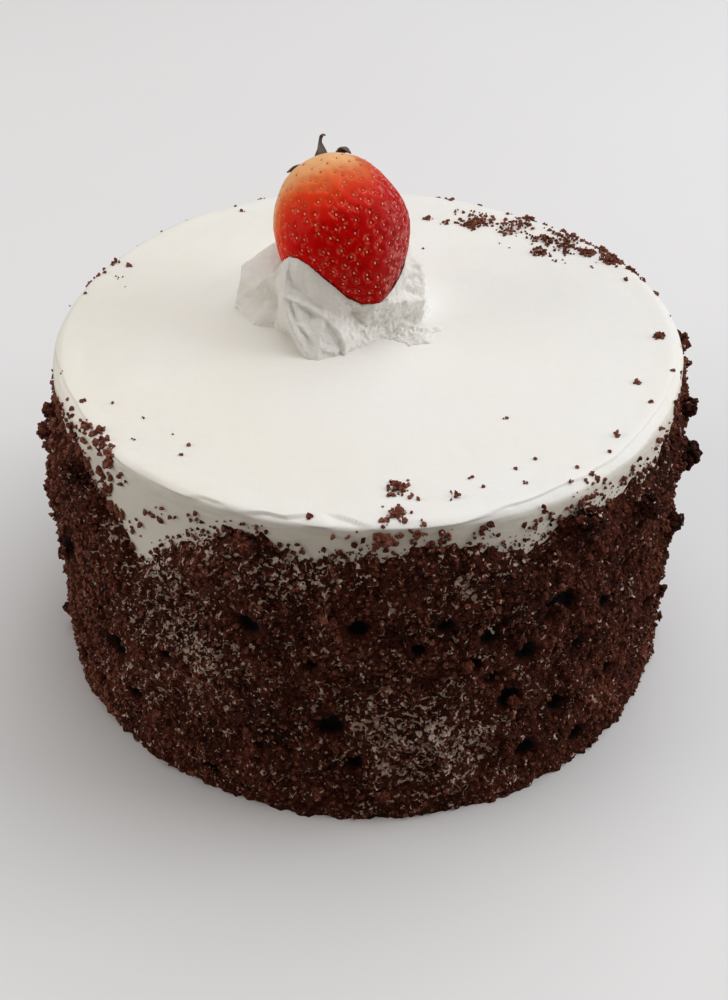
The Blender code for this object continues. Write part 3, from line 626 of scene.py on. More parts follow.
def crumb_finish():
    """Chocolate crumbs, and the cream that shows in flecks and curls between their grains."""
    made = Finish("chocolate_crumb", 0.88, Specular_IOR_Level=0.15)
    fine = made.noise(0.0009, 5, 0.75)
    grains = made.cells(0.0014)
    shade = made.plus(fine, made.times(made.noise(0.017, 3), 0.45))
    # The bed has no tone, so it comes out darker than the crumbs on it: painted shade in the gaps
    # between them.
    shade = made.plus(shade, made.times(made.kept("tone"), 0.16))
    soil = made.ramp(shade, (0.60, (0.012, 0.0026, 0.0012)), (0.80, (0.101, 0.0215, 0.0100)),
                     (1.05, (0.29, 0.100, 0.063)))
    # Painted shade: the coat's pits are darkened to near black.
    painted_pit_shade = made.ramp(made.kept("pit"), (0.12, 0.0), (0.5, 1.0))
    soil = made.blend(painted_pit_shade, soil, (0.002, 0.0008, 0.0005))

    curls = made.ramp(made.noise(0.0033, 2, 0.5, distortion=1.0), (0.445, 0.0), (0.480, 1.0),
                      (0.520, 1.0), (0.555, 0.0))
    flecks = made.noise(0.0018, 1.5, 0.5, distortion=0.7)
    flecks = made.plus(flecks, made.times(made.noise(0.009, 2), 0.22))
    flecks = made.plus(flecks, made.times(made.kept("cream"), 0.16))
    flecks = made.plus(flecks, made.times(grains, -0.16))
    flecks = made.plus(flecks, made.times(made.kept("pit"), -0.8))
    flecks = made.plus(flecks, made.times(curls, 0.075))
    shows = made.ramp(flecks, (0.805, 0.0), (0.830, 0.7), (0.860, 1.0))
    dusty = made.ramp(made.noise(0.0014, 3, 0.7), (0.35, (0.48, 0.32, 0.24)),
                      (0.65, (0.96, 0.80, 0.69)))
    made.link(made.blend(shows, soil, dusty))
    made.bump(made.ramp(grains, (0.0, 0.0), (0.30, 1.0)), 0.0004, 0.7)
    made.bump(fine, 0.0008, 0.9)
    made.bump(made.noise(0.00035, 3, 0.7), 0.0002, 0.6)
    return made


def flesh_finish():
    """The strawberry's skin, from pale at the stem to deep red at the tip, with painted shade, painted
    highlights and a painted sheen on it.
    """
    made = Finish("strawberry_flesh", 0.34, Subsurface_Weight=0.12, Subsurface_Radius=(1.0, 0.18, 0.08),
                  Subsurface_Scale=0.0010, Specular_IOR_Level=0.04)
    # The ramp darkens at its reddest end, the tip: partly the berry's own deep red, partly painted shade
    # where the tip lies in the cream.
    colour = made.ramp(
        made.kept("ripe"), (0.05, (0.88, 0.53, 0.26)), (0.16, (0.87, 0.42, 0.18)),
        (0.24, (0.87, 0.20, 0.055)), (0.34, (0.82, 0.057, 0.011)), (0.44, (0.72, 0.016, 0.004)),
        (0.54, (0.60, 0.0010, 0.0010)), (0.68, (0.52, 0.0, 0.0)), (0.95, (0.38, 0.0, 0.0)),
    )
    mottles = made.ramp(made.noise(0.0016, 4, 0.6), (0.35, 0.0), (0.75, 0.20))
    glint = made.ramp(made.noise(0.0016, 3, 0.6, distortion=0.8), (0.50, 0.0), (0.62, 1.0))
    colour = made.blend(mottles, colour, (0.74, 0.018, 0.008))
    # Painted shade on the strawberry's right side.
    colour = made.blend(made.times(made.kept("shaded_flank"), 0.32), colour, (0.10, 0.03, 0.03))
    # Painted shade in the seeds' pits.
    colour = made.blend(made.times(made.kept("pit"), 0.45), colour, (0.20, 0.0, 0.0))
    # Painted highlights: light rings round the seeds' pits, broken up by the glint noise.
    ring = made.times(made.kept("ring"), made.times(glint, 0.70))
    colour = made.blend(ring, colour, (0.88, 0.15, 0.08))
    # Painted sheen: a pink net of reflections on the strawberry's right side.
    painted_wet_sheen = made.times(made.kept("painted_wet_sheen"), made.times(glint, 0.55))
    made.link(made.blend(painted_wet_sheen, colour, (0.66, 0.20, 0.20)))
    made.link(made.ramp(made.noise(0.004, 3), (0.3, 0.24), (0.7, 0.42)), "Roughness")
    made.bump(made.noise(0.0012, 4, 0.6), 0.00022, 0.7)
    return made


def seed_finish():
    made = Finish("strawberry_seeds", 0.35, Coat_Weight=0.3)
    made.link(made.ramp(
        made.kept("tone"), (0.10, (0.50, 0.10, 0.030)), (0.30, (0.78, 0.17, 0.05)),
        (0.50, (0.92, 0.36, 0.20)), (0.95, (0.90, 0.33, 0.24)),
    ))
    made.bump(made.noise(0.0004, 3), 0.0001, 0.5)
    return made


def leaf_finish():
    made = Finish("dried_leaf", 0.75)
    fine = made.noise(0.0016, 5, 0.65)
    made.link(made.ramp(fine, (0.25, (0.060, 0.042, 0.030)), (0.55, (0.125, 0.090, 0.067)),
                        (0.80, (0.22, 0.165, 0.12))))
    made.bump(fine, 0.0005, 0.8)
    return made


def dress(obj, finish, replaced=None, sharp=None):
    """Material, shading and body for one finished piece, flat if sharp is 0 degrees, and hides the part
    it replaces.
    """
    obj.data.materials.clear()
    obj.data.materials.append(finish.material)
    if sharp == 0:
        obj.data.shade_flat()
    else:
        obj.data.shade_smooth()
        if sharp:
            obj.data.set_sharp_from_angle(angle=math.radians(sharp))
    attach(obj, "root")
    if replaced:
        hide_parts(replaced)


# ---- the cake's cream


def rounded(points, times=2):
    """Cuts the corners of a line of points."""
    points = np.array(points, float)
    for _ in range(times):
        near = points[:-1] * 0.75 + points[1:] * 0.25
        far = points[:-1] * 0.25 + points[1:] * 0.75
        cut = np.stack([near, far], 1).reshape(-1, points.shape[1])
        points = np.concatenate([points[:1], cut, points[-1:]])
    return points


def fold_drop(angle, inset):
    """How far the strips outside the rim's folds lie below the top."""
    degrees = np.degrees(angle)
    drop = np.zeros(np.shape(inset))
    for line, depth in RIM_FOLDS:
        at, into = np.array(line).T
        reach = np.interp(degrees, at, into) * MM + waves_round(angle, FOLD_RAGGED)
        fade = smooth_step(at[0] - 0.5, at[0] + 2.5, degrees)
        fade = fade * smooth_step(at[-1] + 0.5, at[-1] - 2.5, degrees)
        drop = drop + depth * MM * fade * smooth_step(-FOLD_SLOPE, FOLD_SLOPE, reach - inset)
    return drop


def knifed(radius, height, angle):
    """The skin with the marks of the knife on it. Heights are counted from the top's level."""
    inset = CAKE_RADIUS - radius
    radius = radius * (1 + (outline(angle) / CAKE_RADIUS - 1) * np.minimum(1, radius / FLAT_RADIUS))
    level = polar(radius, angle, 0 * radius)
    place = polar(radius, angle, height)

    on_top = smooth_step(-0.0042, -0.0024, height)
    outer = smooth_step(FLAT_RADIUS, FLAT_RADIUS + 0.02, radius)
    knife = [noise.noise(Vector((x * 34, y * 34, 1.7))) for x, y, _ in level.reshape(-1, 3)]
    lift = KNIFE_WAVE * np.reshape(knife, height.shape) * outer
    lift += waves(level @ np.array(STROKE_STRETCH), *KNIFE_STROKES) * outer
    lift += waves(level, RIM_WAVE) * smooth_step(0.012, 0.004, inset)
    lift -= fold_drop(angle, inset)
    height = height + lift * on_top

    lip = RIM_LIP * np.exp(-(((height + 0.0005) / 0.0005) ** 2))
    radius = radius + lip * smooth_step(-0.2, 0.7, waves_round(angle, (1, 0.017, 9)))
    uneven = waves(place, WALL_WAVE) + waves(place * (1, 1, 3), WALL_STREAKS)
    return radius + uneven * smooth_step(-0.0005, -0.003, height), height


def cake_rings():
    """The cream's skin as rings of points, from the middle of its base to the middle of its top."""
    angle = np.linspace(-np.pi, np.pi, CAKE_COLUMNS, endpoint=False)
    share = np.interp(np.degrees(angle), *np.array(BEVEL_SHARE).T)[None, :, None]
    crisp, bevel = rounded(RIM_CRISP, 3)[:, None] * MM, rounded(RIM_BEVEL, 3)[:, None] * MM
    rim = (crisp * (1 - share) + bevel * share)[::-1]
    rim = np.stack([CAKE_RADIUS - rim[..., 0], rim[..., 1]], -1)

    base = [(0, -CAKE_HEIGHT), (CAKE_RADIUS - 0.001, -CAKE_HEIGHT), (CAKE_RADIUS, -CAKE_HEIGHT + 0.001)]
    wall = [(CAKE_RADIUS, z) for z in (-0.07, *np.linspace(-0.034, -0.0081, WALL_RINGS))]
    flat = np.linspace(0.0015, CAKE_RADIUS - 0.0110, TOP_RINGS)[::-1]
    rise = 0.00015 * smooth_step(0.06, CAKE_RADIUS - 0.009, flat)
    lower, top = (
        np.repeat(np.array(line)[:, None], CAKE_COLUMNS, 1)
        for line in (base + wall, [*zip(flat, rise), (0, 0)])
    )
    rows = np.concatenate([lower, rim, top])
    angle = np.repeat(angle[None], len(rows), 0)
    radius, height = knifed(rows[..., 0], rows[..., 1], angle)
    radius[0] = radius[-1] = 0
    return polar(radius, angle, CAKE_HEIGHT + height)


def make_cake():
    cream = cream_finish("cake_cream", (0.865, 0.862, 0.842), (0.865, 0.838, 0.76), 0.35)
    along = cream.stretched((0.22, 1, 1), (0, 0, -0.3))
    cream.bump(cream.noise(0.0032, 3, 0.6, place=along), 0.00025, 0.35)
    cake = rings("cake_cream", cake_rings())
    # The cream grows yellower towards the left of the top; the whole wall is tinted yellower as painted
    # bounce light.
    leftward = corners(cake) @ np.array([-0.98, -0.17, 0])
    wall = smooth_step(CAKE_HEIGHT - 0.0010, CAKE_HEIGHT - 0.0035, corners(cake)[:, 2])
    note(cake, "warm_tint_and_bounce", np.maximum(0.75 * smooth_step(0.0, 0.09, leftward), 0.85 * wall))
    dress(cake, cream, "cake", 60)
    return cake


# ---- the crumb coat


def pit_depth(angle, height):
    """How deep in a pit that place is, from 0 to 1."""
    depth = np.zeros(np.shape(height))
    for at, middle, size in PITS:
        across = degrees_from(at, angle) * WALL_DEGREE
        away = (across**2 + (height / MM - middle) ** 2) / (PIT_SPREAD * size) ** 2
        depth = np.maximum(depth, np.exp(-(away**1.5)))
    return depth


def cream_share(angle, height):
    """How much cream shows between the crumbs there, from 0 to about 1."""
    degrees = np.degrees(angle)
    share = 0.29 - 0.29 * smooth_step(-136, -148, degrees) * (degrees < 0)
    share = share - 0.24 * smooth_step(-66, -54, degrees) * smooth_step(10, 0, degrees)
    for at, middle, across, up, strength in CREAM_PATCHES:
        away = (degrees_from(at, angle) / across) ** 2
        share = share + strength * np.exp(-away - ((height / MM - middle) / up) ** 2)
    share = share + 0.15 * smooth_step(0.014, 0.002, coat_edge(angle) - height)
    share = share * (1 - smooth_step(0.01, 0.12, pit_depth(angle, height)))
    return np.clip(share, 0, 1.15)


def ragged_edge(angle):
    return coat_edge(angle) + waves_round(angle, *EDGE_RAGGED)


def bed_surface(angle, height):
    """Radius of the bed the crumbs lie in."""
    place = polar(CAKE_RADIUS, angle, height)
    radius = coat_surface(angle, height) - BED_DEPTH
    radius = radius + waves(place, *BED_RELIEF) - PIT_DEPTH * pit_depth(angle, height)
    radius = np.maximum(radius, outline(angle) + 0.0002)
    buried = outline(angle) - 0.0006
    below = ragged_edge(angle) - height + waves(place, *BED_RAGGED)
    return buried + (radius - buried) * smooth_step(0.0002, 0.0075, below)


def bed_rings():
    share, angle = all_round(np.linspace(0, 1, BED_ROWS), BED_COLUMNS)
    top = ragged_edge(angle) + 0.0006
    height = share * top
    outer = polar(bed_surface(angle, height), angle, height)
    inner = polar(outline(angle[-1:]) - 0.0030, angle[-1:], top[-1:])
    under = inner * (1, 1, 0)
    return np.concatenate([under, outer, inner, under])


def make_bed(brown):
    bed = rings("coat_bed", bed_rings())
    x, y, height = corners(bed).T
    angle = np.arctan2(y, x)
    note(bed, "cream", cream_share(angle, height))
    # The crumbs' material reads this to paint shade into the pits.
    note(bed, "pit", pit_depth(angle, height))
    dress(bed, brown, "crumb_coat")


def scatter(spacing, low, high, rng):
    """Places spread evenly over the wall: angles and heights."""
    columns = round(math.tau * CAKE_RADIUS / spacing)
    rows = round((high - low) / (spacing * 0.866))
    i, j = np.meshgrid(np.arange(rows), np.arange(columns), indexing="ij")
    angle = (j + 0.5 * (i % 2)) * math.tau / columns - math.pi
    height = low + (i + 0.5) * (high - low) / rows
    angle = angle + rng.uniform(-0.48, 0.48, i.shape) * spacing / CAKE_RADIUS
    height = height + rng.uniform(-0.48, 0.48, i.shape) * spacing
    return angle.ravel(), height.ravel()


def ball(kind):
    """Points and faces of a plain ball with 8 or 20 faces."""
    shape = bmesh.new()
    if kind == 8:
        bmesh.ops.create_uvsphere(shape, u_segments=4, v_segments=2, radius=1)
    else:
        bmesh.ops.create_icosphere(shape, subdivisions=1, radius=1)
    bmesh.ops.triangulate(shape, faces=shape.faces)
    points = np.array([v.co for v in shape.verts])
    faces = np.array([[v.index for v in f.verts] for f in shape.faces])
    shape.free()
    return points, faces


def turns(count, rng):
    """Random turns as 3 by 3 arrays."""
    q = rng.normal(size=(count, 4))
    w, x, y, z = (q / np.linalg.norm(q, axis=1, keepdims=True)).T
    return np.stack([
        1 - 2 * (y * y + z * z), 2 * (x * y - z * w), 2 * (x * z + y * w),
        2 * (x * y + z * w), 1 - 2 * (x * x + z * z), 2 * (y * z - x * w),
        2 * (x * z - y * w), 2 * (y * z + x * w), 1 - 2 * (x * x + y * y),
    ], -1).reshape(-1, 3, 3)


def make_crumbs(name, brown, middles, sizes, tones, rng, kind=20, uneven=0.40, cream=None):
    """One piece of loose crumbs, each a lumpy ball of its own."""
    points, faces = ball(kind)
    count = len(middles)
    lumpy = points[None] * rng.uniform(1 - uneven, 1 + uneven, (count, len(points), 1))
    lumpy = lumpy * rng.uniform(0.62, 1.38, (count, 1, 3))
    placed = np.einsum("nij,nvj->nvi", turns(count, rng), lumpy) * np.reshape(sizes, (-1, 1, 1))
    placed = placed + np.asarray(middles)[:, None]
    placed[..., 2] = np.maximum(placed[..., 2], 0.0002)
    made = solid(name, placed, repeated(faces, count, len(points)))
    note(made, "tone", np.repeat(tones, len(points)))
    if cream is not None:
        note(made, "cream", np.repeat(cream, len(points)))
    dress(made, brown, sharp=0)


def coat_crumbs(spacing, sizes, keep, rng):
    """Middles, sizes, tones and cream of the crumbs of one size on the wall."""
    angle, height = scatter(spacing, 0.0008, 0.1125, rng)
    size = rng.uniform(*sizes, len(angle))
    over = height - ragged_edge(angle)
    thin = 1 - 0.55 * np.minimum(cream_share(angle, height), 1) * keep
    thin *= smooth_step(0.0016, -0.0014, over)
    front = smooth_step(35, 20, np.abs(degrees_from(FRONT_MIDDLE, angle)))
    strays = (0.45 + 0.50 * front) * np.exp(-np.maximum(over, 0) / (0.0030 - 0.0020 * front))
    thin = np.maximum(thin, strays * (height < 0.1098))
    thin *= 1 - smooth_step(0.06, 0.25, pit_depth(angle, height))
    kept = rng.uniform(0, 1, len(angle)) < thin
    angle, height, size, over = angle[kept], height[kept], size[kept], over[kept]

    bed = np.maximum(bed_surface(angle, height), outline(angle))
    radius = np.where(over > -0.0004, outline(angle), bed)
    # Crumbs facing that side get a lighter tone: painted light.
    left = smooth_step(46, 26, np.abs(degrees_from(LEFT_MIDDLE, angle)))
    # Crumbs in the pits get a darker tone: painted shade.
    pit_shade = 1 - 0.7 * pit_depth(angle, height)
    tone = rng.uniform(0.1, 1.5, len(angle)) * pit_shade + LEFT_PAINTED_LIGHT * left
    proud = rng.uniform(-0.45, 0.35, len(angle)) + 0.35 * smooth_step(0.006, 0.0, -over)
    cream = cream_share(angle, height) * 0.75 * (over < -0.002)
    return polar(radius + size * proud, angle, height), size, tone, cream


def clump_bits(middle, radius, count, rng):
    """Middles of bits packed round a middle."""
    way = rng.normal(size=(count, 3))
    way /= np.linalg.norm(way, axis=1, keepdims=True)
    return middle + way * (radius * rng.uniform(0.25, 0.85, (count, 1)) ** 0.6)


def make_clumps(brown, rng):
    """Lumps of crumbs, the big ones in their places and the others spread over the coat."""
    places = [(math.radians(degrees), height, size) for degrees, height, size in BIG_LUMPS]
    for angle, height in zip(*scatter(LUMP_SPACING, 0.004, 0.100, rng)):
        if height < coat_edge(angle) - 0.004 and rng.uniform() < LUMP_SHARE:
            places.append((angle, height, rng.uniform(0.0014, 0.0024)))
    bits, sizes, tones = [], [], []
    for angle, height, size in places:
        out = 0.10 + 0.42 * smooth_step(0.0029, 0.0042, size)
        radius = float(coat_surface(np.array([angle]), np.array([height]))[0]) + size * out
        count = int(8 + 14 * (size / 0.002) ** 2)
        bits.append(clump_bits(polar(radius, angle, height), size, count, rng))
        sizes.append(rng.uniform(0.34, 0.55, count) * min(size, 0.0026))
        # The biggest lumps get a darker tone: painted shade for their shadowed undersides.
        tones.append(rng.uniform(0, 1, count) - 0.9 * smooth_step(0.0028, 0.0036, size))
    bits, sizes, tones = np.concatenate(bits), np.concatenate(sizes), np.concatenate(tones)
    make_crumbs("coat_clumps", brown, bits, sizes, tones, rng, uneven=0.30)


def make_coat(brown):
    rng = np.random.default_rng(17)
    make_bed(brown)
    for name, spacing, range_of, keep, kind, uneven in COAT_CRUMBS:
        found = coat_crumbs(spacing, range_of, keep, rng)
        front = found[0][:, 1] < 0
        shares = {"front": front, "back": ~front} if name == "large" else {name: slice(None)}
        for part, chosen in shares.items():
            middles, sizes, tones, cream = (values[chosen] for values in found)
            make_crumbs("coat_crumbs_" + part, brown, middles, sizes, tones, rng, kind, uneven, cream)
    make_clumps(brown, rng)


def top_crumbs(tree, rng):
    """Middles and sizes of the crumbs on the top."""
    for x, y, spread, count in TOP_CLUSTERS:
        if count > HEAP_COUNT:
            count = int(count * HEAP_GROWTH)
        for _ in range(count):
            at = rng.normal((x, y), max(spread, 0.15) * 0.62) * MM
            far = math.hypot(*at)
            limit = float(outline(np.array(math.atan2(at[1], at[0])))) - 0.0004
            if far > limit:
                at *= limit / far
            hit = tree.ray_cast(Vector((at[0], at[1], 0.13)), Vector((0, 0, -1)))[0]
            size = rng.uniform(0.00022, 0.00062) * (1.2 if count > 5 else 1.0)
            near = math.hypot(at[0] / MM - x, at[1] / MM - y) < spread * 0.7
            lift = size * 0.45 + (0.0012 * rng.uniform() if near and count > 8 else 0)
            yield (at[0], at[1], hit.z + lift), size


def band_crumbs(tree, rng):
    """Middles and sizes of the crumbs on the wall above the coat."""
    for degrees, height, spread, count, coarse in BAND_CLUSTERS:
        for _ in range(count):
            angle = math.radians(degrees) + rng.normal(0, spread * MM) / CAKE_RADIUS
            z = min(height * MM + rng.normal(0, spread * 0.8 * MM), 0.1105)
            start = Vector(polar(0.13, angle, z))
            out = Vector((start.x, start.y, 0)).normalized()
            hit = tree.ray_cast(start, -out)[0]
            size = rng.uniform(0.00030, 0.00085) * coarse
            yield tuple(hit + out * size * 0.4), size


def drop_crumbs(cake, brown):
    rng = np.random.default_rng(29)
    tree = tree_of(cake)
    found = [*top_crumbs(tree, rng), *band_crumbs(tree, rng)]
    middles, sizes = np.array([middle for middle, _ in found]), np.array([size for _, size in found])
    # The crumbs on the top get a lighter tone than those on the wall: painted light, for the full top
    # light they lie in.
    tones = rng.uniform(0.8, 2.2, len(sizes))
    make_crumbs("dropped_crumbs", brown, middles, sizes, tones, rng, uneven=0.38)


# ---- the strawberry


def area_shares(count, start):
    """Shares of the length that put as much skin between each and the next."""
    fine = np.linspace(start, 0.985, 2000)
    ring = berry_point(fine, np.zeros(len(fine)))
    step = np.linalg.norm(np.diff(ring, axis=0), axis=1)
    weight = ring[1:, 0] * step * smooth_step(0.02, 0.30, fine[1:])
    total = np.cumsum(weight)
    return np.interp((np.arange(count) + 0.5) / count * total[-1], total, fine[1:])


def seed_places(rng):
    """Each seed's share of the length and angle, along a spiral."""
    share = area_shares(SEED_COUNT, 0.06)
    angle = np.arange(SEED_COUNT) * math.pi * (3 - math.sqrt(5)) + rng.normal(0, 0.05, SEED_COUNT)
    return np.clip(share + rng.normal(0, 0.008, SEED_COUNT), 0.03, 0.985), angle


def mark_skin(flesh, ripe, away):
    """Notes what the skin's material reads: ripeness, painted shade in the seed pits and on the right
    side, painted highlight rings and a painted sheen.
    """
    points = corners(flesh)
    degrees = np.degrees(np.arctan2(points[:, 1], points[:, 0]))
    ripe = ripe - 0.0011 * np.clip(degrees - 20, 0, 80) * (degrees < 140)
    ripe = ripe - 0.10 * smooth_step(24, -6, degrees) * smooth_step(-80, -30, degrees)
    ripe = ripe + 0.12 * smooth_step(104, 122, degrees) + waves(points, *RIPE_DRIFT)
    pit = np.exp(-((away / SEED_PIT_REACH) ** 2))
    ring = np.exp(-(((away - 0.00115) / 0.00035) ** 2))
    note(flesh, "ripe", ripe)
    note(flesh, "pit", pit * (0.25 + 0.75 * smooth_step(0.30, 0.50, ripe)))
    note(flesh, "ring", ring * smooth_step(0.15, 0.3, ripe))
    note(flesh, "painted_wet_sheen", smooth_step(100, 122, degrees) * smooth_step(0.20, 0.35, ripe))
    note(flesh, "shaded_flank", smooth_step(60, 125, degrees) * smooth_step(0.08, 0.24, ripe))


def make_flesh(seats):
    """The strawberry, dimpled at its seeds' seats and swollen between them."""
    flesh = rings("berry_flesh", berry_skin(BERRY_ROWS, BERRY_COLUMNS))
    points = corners(flesh)
    near = kdtree.KDTree(SEED_COUNT)
    for i, seat in enumerate(seats):
        near.insert(seat, i)
    near.balance()
    away = np.array([near.find(p)[2] for p in points])

    ripe = np.clip((BERRY_LENGTH / 2 - points[:, 2]) / BERRY_LENGTH, 0, 1)
    swell = smooth_step(0.12, 0.35, ripe)
    dimple = SEED_PIT * np.exp(-((away / SEED_PIT_REACH) ** 2)) * (0.4 + 0.6 * swell)
    pillow = PILLOW_RISE * smooth_step(0.0009, 0.0020, away) * swell
    out = waves(points, *BERRY_PUFF) - dimple + pillow
    points = points + corners(flesh, "normal") * out[:, None]
    flesh.data.vertices.foreach_set("co", points.astype(np.float32).ravel())
    flesh.data.update()
    mark_skin(flesh, ripe, away)
    dress(flesh, flesh_finish(), "strawberry")
    return flesh


def make_seeds(flesh, share, angle, seats, rng):
    """The seeds, each lying on the skin with its narrow end to the tip."""
    shape, faces = ball(20)
    tree = tree_of(flesh)
    placed = []
    for turn, seat in zip(angle, seats):
        spot, normal, _, _ = tree.find_nearest(Vector(seat))
        side = Vector((-math.sin(turn), math.cos(turn), 0))
        along = side.cross(normal).normalized()
        axes = np.array([normal.cross(along), normal, along])
        seed = shape * np.array(SEED_SIZE) * rng.uniform(0.85, 1.15)
        seed[:, 0] *= 1 - 0.28 * np.clip(-seed[:, 2] / SEED_SIZE[2], -1, 1)
        placed.append(np.array(spot) + seed @ axes + np.array(normal) * SEED_LIFT)
    seeds = solid("berry_seeds", np.array(placed), repeated(faces, SEED_COUNT, len(shape)))
    tones = np.clip(share * 1.1 + rng.normal(0, 0.15, SEED_COUNT), 0, 1)
    note(seeds, "tone", np.repeat(tones, len(shape)))
    dress(seeds, seed_finish())
    return seeds


def make_strawberry(place):
    rng = np.random.default_rng(41)
    share, angle = seed_places(rng)
    seats = berry_point(share, angle)
    flesh = make_flesh(seats)
    seeds = make_seeds(flesh, share, angle, seats, rng)
    flesh.data.transform(place)
    seeds.data.transform(place)


def sepal(azimuth, spine, seed):
    """Points and faces of one thin dried leaf, cupped and wrinkled, along a curling spine."""
    line = rounded(spine) * MM
    run = np.concatenate([[0], np.cumsum(np.linalg.norm(np.diff(line[:, :2], axis=0), axis=1))])
    along = np.linspace(0, 1, SEPAL_ROWS)
    spine = np.column_stack([np.interp(along * run[-1], run, line[:, k]) for k in range(3)])
    broad, spine = spine[:, 2], spine[:, :2]
    tangent = np.gradient(spine, axis=0)
    tangent /= np.linalg.norm(tangent, axis=1, keepdims=True)
    a, s = np.meshgrid(along, np.linspace(-0.5, 0.5, SEPAL_COLUMNS), indexing="ij")
    y = s * broad[:, None]
    cup = CURLED_UNDER.get(azimuth, SEPAL_CUP) * y * y + 0.00016 * np.sin(11 * a + 7 * s + seed)
    cup = cup + 0.00022 * wobble(np.stack([a * 6, s * 3, 0 * a + seed], -1), 1, seed)
    layers = []
    for side in (0.5, -0.5):
        up = cup + side * SEPAL_THICKNESS * (1 - 0.5 * np.abs(2 * s))
        x = spine[:, 0][:, None] - tangent[:, 1][:, None] * up
        z = spine[:, 1][:, None] + tangent[:, 0][:, None] * up
        layers.append(np.stack([x, y, z], -1).reshape(-1, 3))

    count = SEPAL_ROWS * SEPAL_COLUMNS
    at = np.arange(count).reshape(SEPAL_ROWS, SEPAL_COLUMNS)
    upper = np.stack([at[:-1, :-1], at[1:, :-1], at[1:, 1:], at[:-1, 1:]], -1).reshape(-1, 4)
    border = np.concatenate([at[0], at[1:, -1], at[-1, -2::-1], at[-2:0:-1, 0]])
    after = np.roll(border, -1)
    rim = np.stack([border, after, after + count, border + count], -1)
    faces = np.concatenate([upper, upper[:, ::-1] + count, rim])
    c, s = math.cos(math.radians(azimuth)), math.sin(math.radians(azimuth))
    return np.concatenate(layers) @ np.array([[c, s, 0], [-s, c, 0], [0, 0, 1]]), faces


def stem_hub():
    """Points and faces of the round base that the leaves grow from."""
    profile = np.array(HUB_PROFILE)
    radius, angle = all_round(profile[:, 0], HUB_COLUMNS)
    hub = polar(radius * (1 + 0.08 * np.cos(5 * angle)), angle, profile[:, 1:])
    return hub.reshape(-1, 3), ring_faces(len(profile), HUB_COLUMNS)


def make_calyx(place):
    forms = [sepal(*row, seed=k + 3) for k, row in enumerate(SEPALS)] + [stem_hub()]
    points, faces, start = [], [], 0
    for form, sides in forms:
        points.append(form)
        faces.append(sides + start)
        start += len(form)
    points = np.concatenate(points) + (0, 0, BERRY_LENGTH / 2 - STEM_DIMPLE + 0.0007)
    calyx = solid("calyx_leaves", points, np.concatenate(faces))
    shape = bmesh.new()
    shape.from_mesh(calyx.data)
    bmesh.ops.remove_doubles(shape, verts=shape.verts, dist=1e-6)
    bmesh.ops.dissolve_degenerate(shape, edges=shape.edges, dist=1e-6)
    bmesh.ops.recalc_face_normals(shape, faces=shape.faces)
    shape.to_mesh(calyx.data)
    shape.free()
    calyx.data.transform(place)
    dress(calyx, leaf_finish(), "calyx", 50)


# ---- the dollop and its smear


def dollop_rings():
    """The dollop's skin as rings of points, smooth at its left and torn at its right."""
    rise, azimuth = all_round(np.linspace(0, np.pi / 2, DOLLOP_ROWS), DOLLOP_COLUMNS)
    directions = polar(np.cos(rise), azimuth, np.sin(rise)).reshape(-1, 3)
    reach = dollop_reach(directions)
    place = directions * reach[:, None]
    rag = smooth_step(-3, 3, place[:, 0])
    folds = 0.55 * wobble(place, 5.0, 61) + 0.6 * (0.3 - np.abs(wobble(place, 3.4, 62)))
    fine = 0.50 * (0.3 - np.abs(wobble(place, 1.7, 63))) + 0.22 * wobble(place, 0.8, 64)
    torn = 0.60 * (0.3 - np.abs(wobble(place * (0.5, 0.5, 1.6), 1.3, 65)))
    reach = reach + folds * (0.5 + 0.5 * rag) + fine * (0.35 + 0.65 * rag) + torn * (0.1 + 0.7 * rag)
    base = np.array(DOLLOP_MIDDLE) * MM + (0, 0, CAKE_HEIGHT - 0.0002)
    grid = base + directions * reach[:, None] * MM
    grid = grid.reshape(DOLLOP_ROWS, DOLLOP_COLUMNS, 3)
    grid[0, :, 2] = base[2]
    grid[-1] = grid[-1].mean(0)
    return np.concatenate([np.repeat(base[None, None], DOLLOP_COLUMNS, 1), grid])


def cut_room(dollop, place):
    """Cuts room for the strawberry out of the dollop."""
    room = rings("berry_room", berry_skin(70, 160) * (1 + BERRY_ROOM / BERRY_RADIUS))
    room.data.transform(place)
    cut = dollop.modifiers.new("room", "BOOLEAN")
    cut.operation = "DIFFERENCE"
    cut.object = room
    cut.solver = "MANIFOLD"
    bpy.context.view_layer.update()
    graph = bpy.context.evaluated_depsgraph_get()
    mesh = bpy.data.meshes.new_from_object(dollop.evaluated_get(graph))
    dollop.modifiers.clear()
    dollop.data = mesh
    bpy.data.objects.remove(room)


def make_dollop(place, cream):
    dollop = rings("whipped_dollop", dollop_rings())
    cut_room(dollop, place)
    dress(dollop, cream, "cream_dollop", 55)


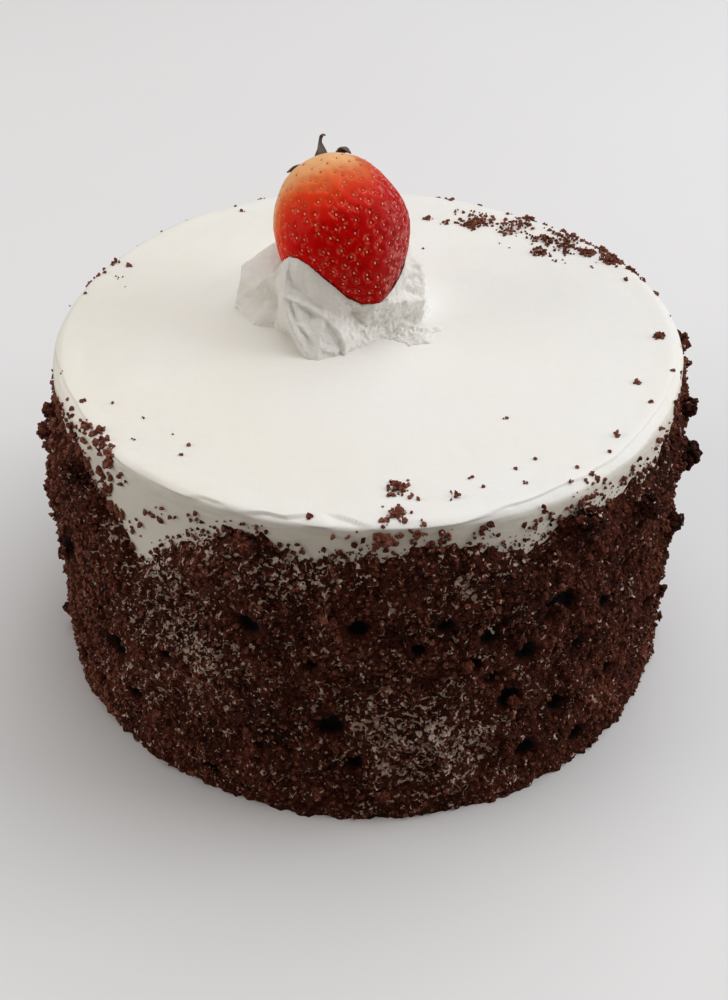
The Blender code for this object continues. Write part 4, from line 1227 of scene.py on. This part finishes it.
def make_smear(cream):
    """The ragged smear that the spoon left on the cream, right of the dollop."""
    share, angle = all_round(np.linspace(1, 0, 30), 120)
    edge = 1 + waves(polar(1.0, angle, 0 * angle), *SMEAR_EDGE)
    place = polar(share * edge, angle, 0 * angle) * (*SMEAR_REACH, 0)
    place = place @ np.array(SMEAR_TURN) + (*SMEAR_MIDDLE, 0)
    rough = 1.2 * wobble(place, 3.2, 72) - 0.8 * np.abs(wobble(place, 1.3, 73))
    rise = SMEAR_HEIGHT * (1 - share**4) * np.maximum(0.10, 0.75 + 0.60 * rough)
    place[..., 2] = CAKE_HEIGHT / MM - 0.3 + 0.35 * smooth_step(1.0, 0.92, share) + rise
    foot = place[:1] * (1, 1, 0) + (0, 0, CAKE_HEIGHT / MM - 0.6)
    foot = foot.mean(axis=1, keepdims=True) + 0 * foot
    smear = rings("cream_smear", np.concatenate([foot, place]) * MM)
    dress(smear, cream, sharp=55)


# ---- light, floor and camera


def add_object(name, data):
    made = bpy.data.objects.new(name, data)
    bpy.context.scene.collection.objects.link(made)
    return made


def area_light(name, place, toward, size, power, colour):
    light = bpy.data.lights.new(name, "AREA")
    light.size = size
    light.energy = power
    light.color = colour
    made = add_object(name, light)
    made.location = place
    made.rotation_euler = (Vector(toward) - Vector(place)).to_track_quat("-Z", "Y").to_euler()


def lay_floor():
    far = FLOOR_REACH
    points = np.array([(-far, -far, 0), (far, -far, 0), (far, far, 0), (-far, far, 0)], float)
    floor = solid("floor", points, np.array([[0, 1, 2, 3]]))
    pale = Finish("pale_floor", 0.9, Specular_IOR_Level=0.1)
    pale.link(pale.ramp(pale.noise(0.4, 2), (0.3, (0.77, 0.77, 0.78)), (0.7, (0.79, 0.79, 0.80))))
    floor.data.materials.append(pale.material)
    floor.visible_diffuse = False


def light_it():
    world = bpy.data.worlds.new("studio")
    world.use_nodes = True
    background = world.node_tree.nodes["Background"]
    background.inputs["Color"].default_value = SKY_COLOUR
    background.inputs["Strength"].default_value = SKY_STRENGTH
    bpy.context.scene.world = world
    for row in LIGHTS:
        area_light(*row)


def set_camera():
    view = bpy.data.cameras.new("camera")
    view.lens = CAMERA_LENS
    view.sensor_width = 36
    view.clip_end = 50
    camera = add_object("camera", view)
    camera.location = CAMERA_PLACE
    camera.rotation_euler = (math.radians(CAMERA_PITCH), 0, 0)
    bpy.context.scene.camera = camera
    settings = bpy.context.scene.view_settings
    settings.view_transform = "Standard"
    settings.look = "None"


def main():
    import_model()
    cake = make_cake()
    brown = crumb_finish()
    make_coat(brown)
    drop_crumbs(cake, brown)
    place = berry_place()
    make_strawberry(place)
    make_calyx(place)
    cream = cream_finish("whipped_cream", (0.855, 0.842, 0.810), (0.835, 0.81, 0.755), 1.2)
    cream.bump(cream.noise(0.0021, 4, 0.7, distortion=1.2), 0.0008, 0.7)
    make_dollop(place, cream)
    make_smear(cream)
    lay_floor()
    light_it()
    set_camera()


main()
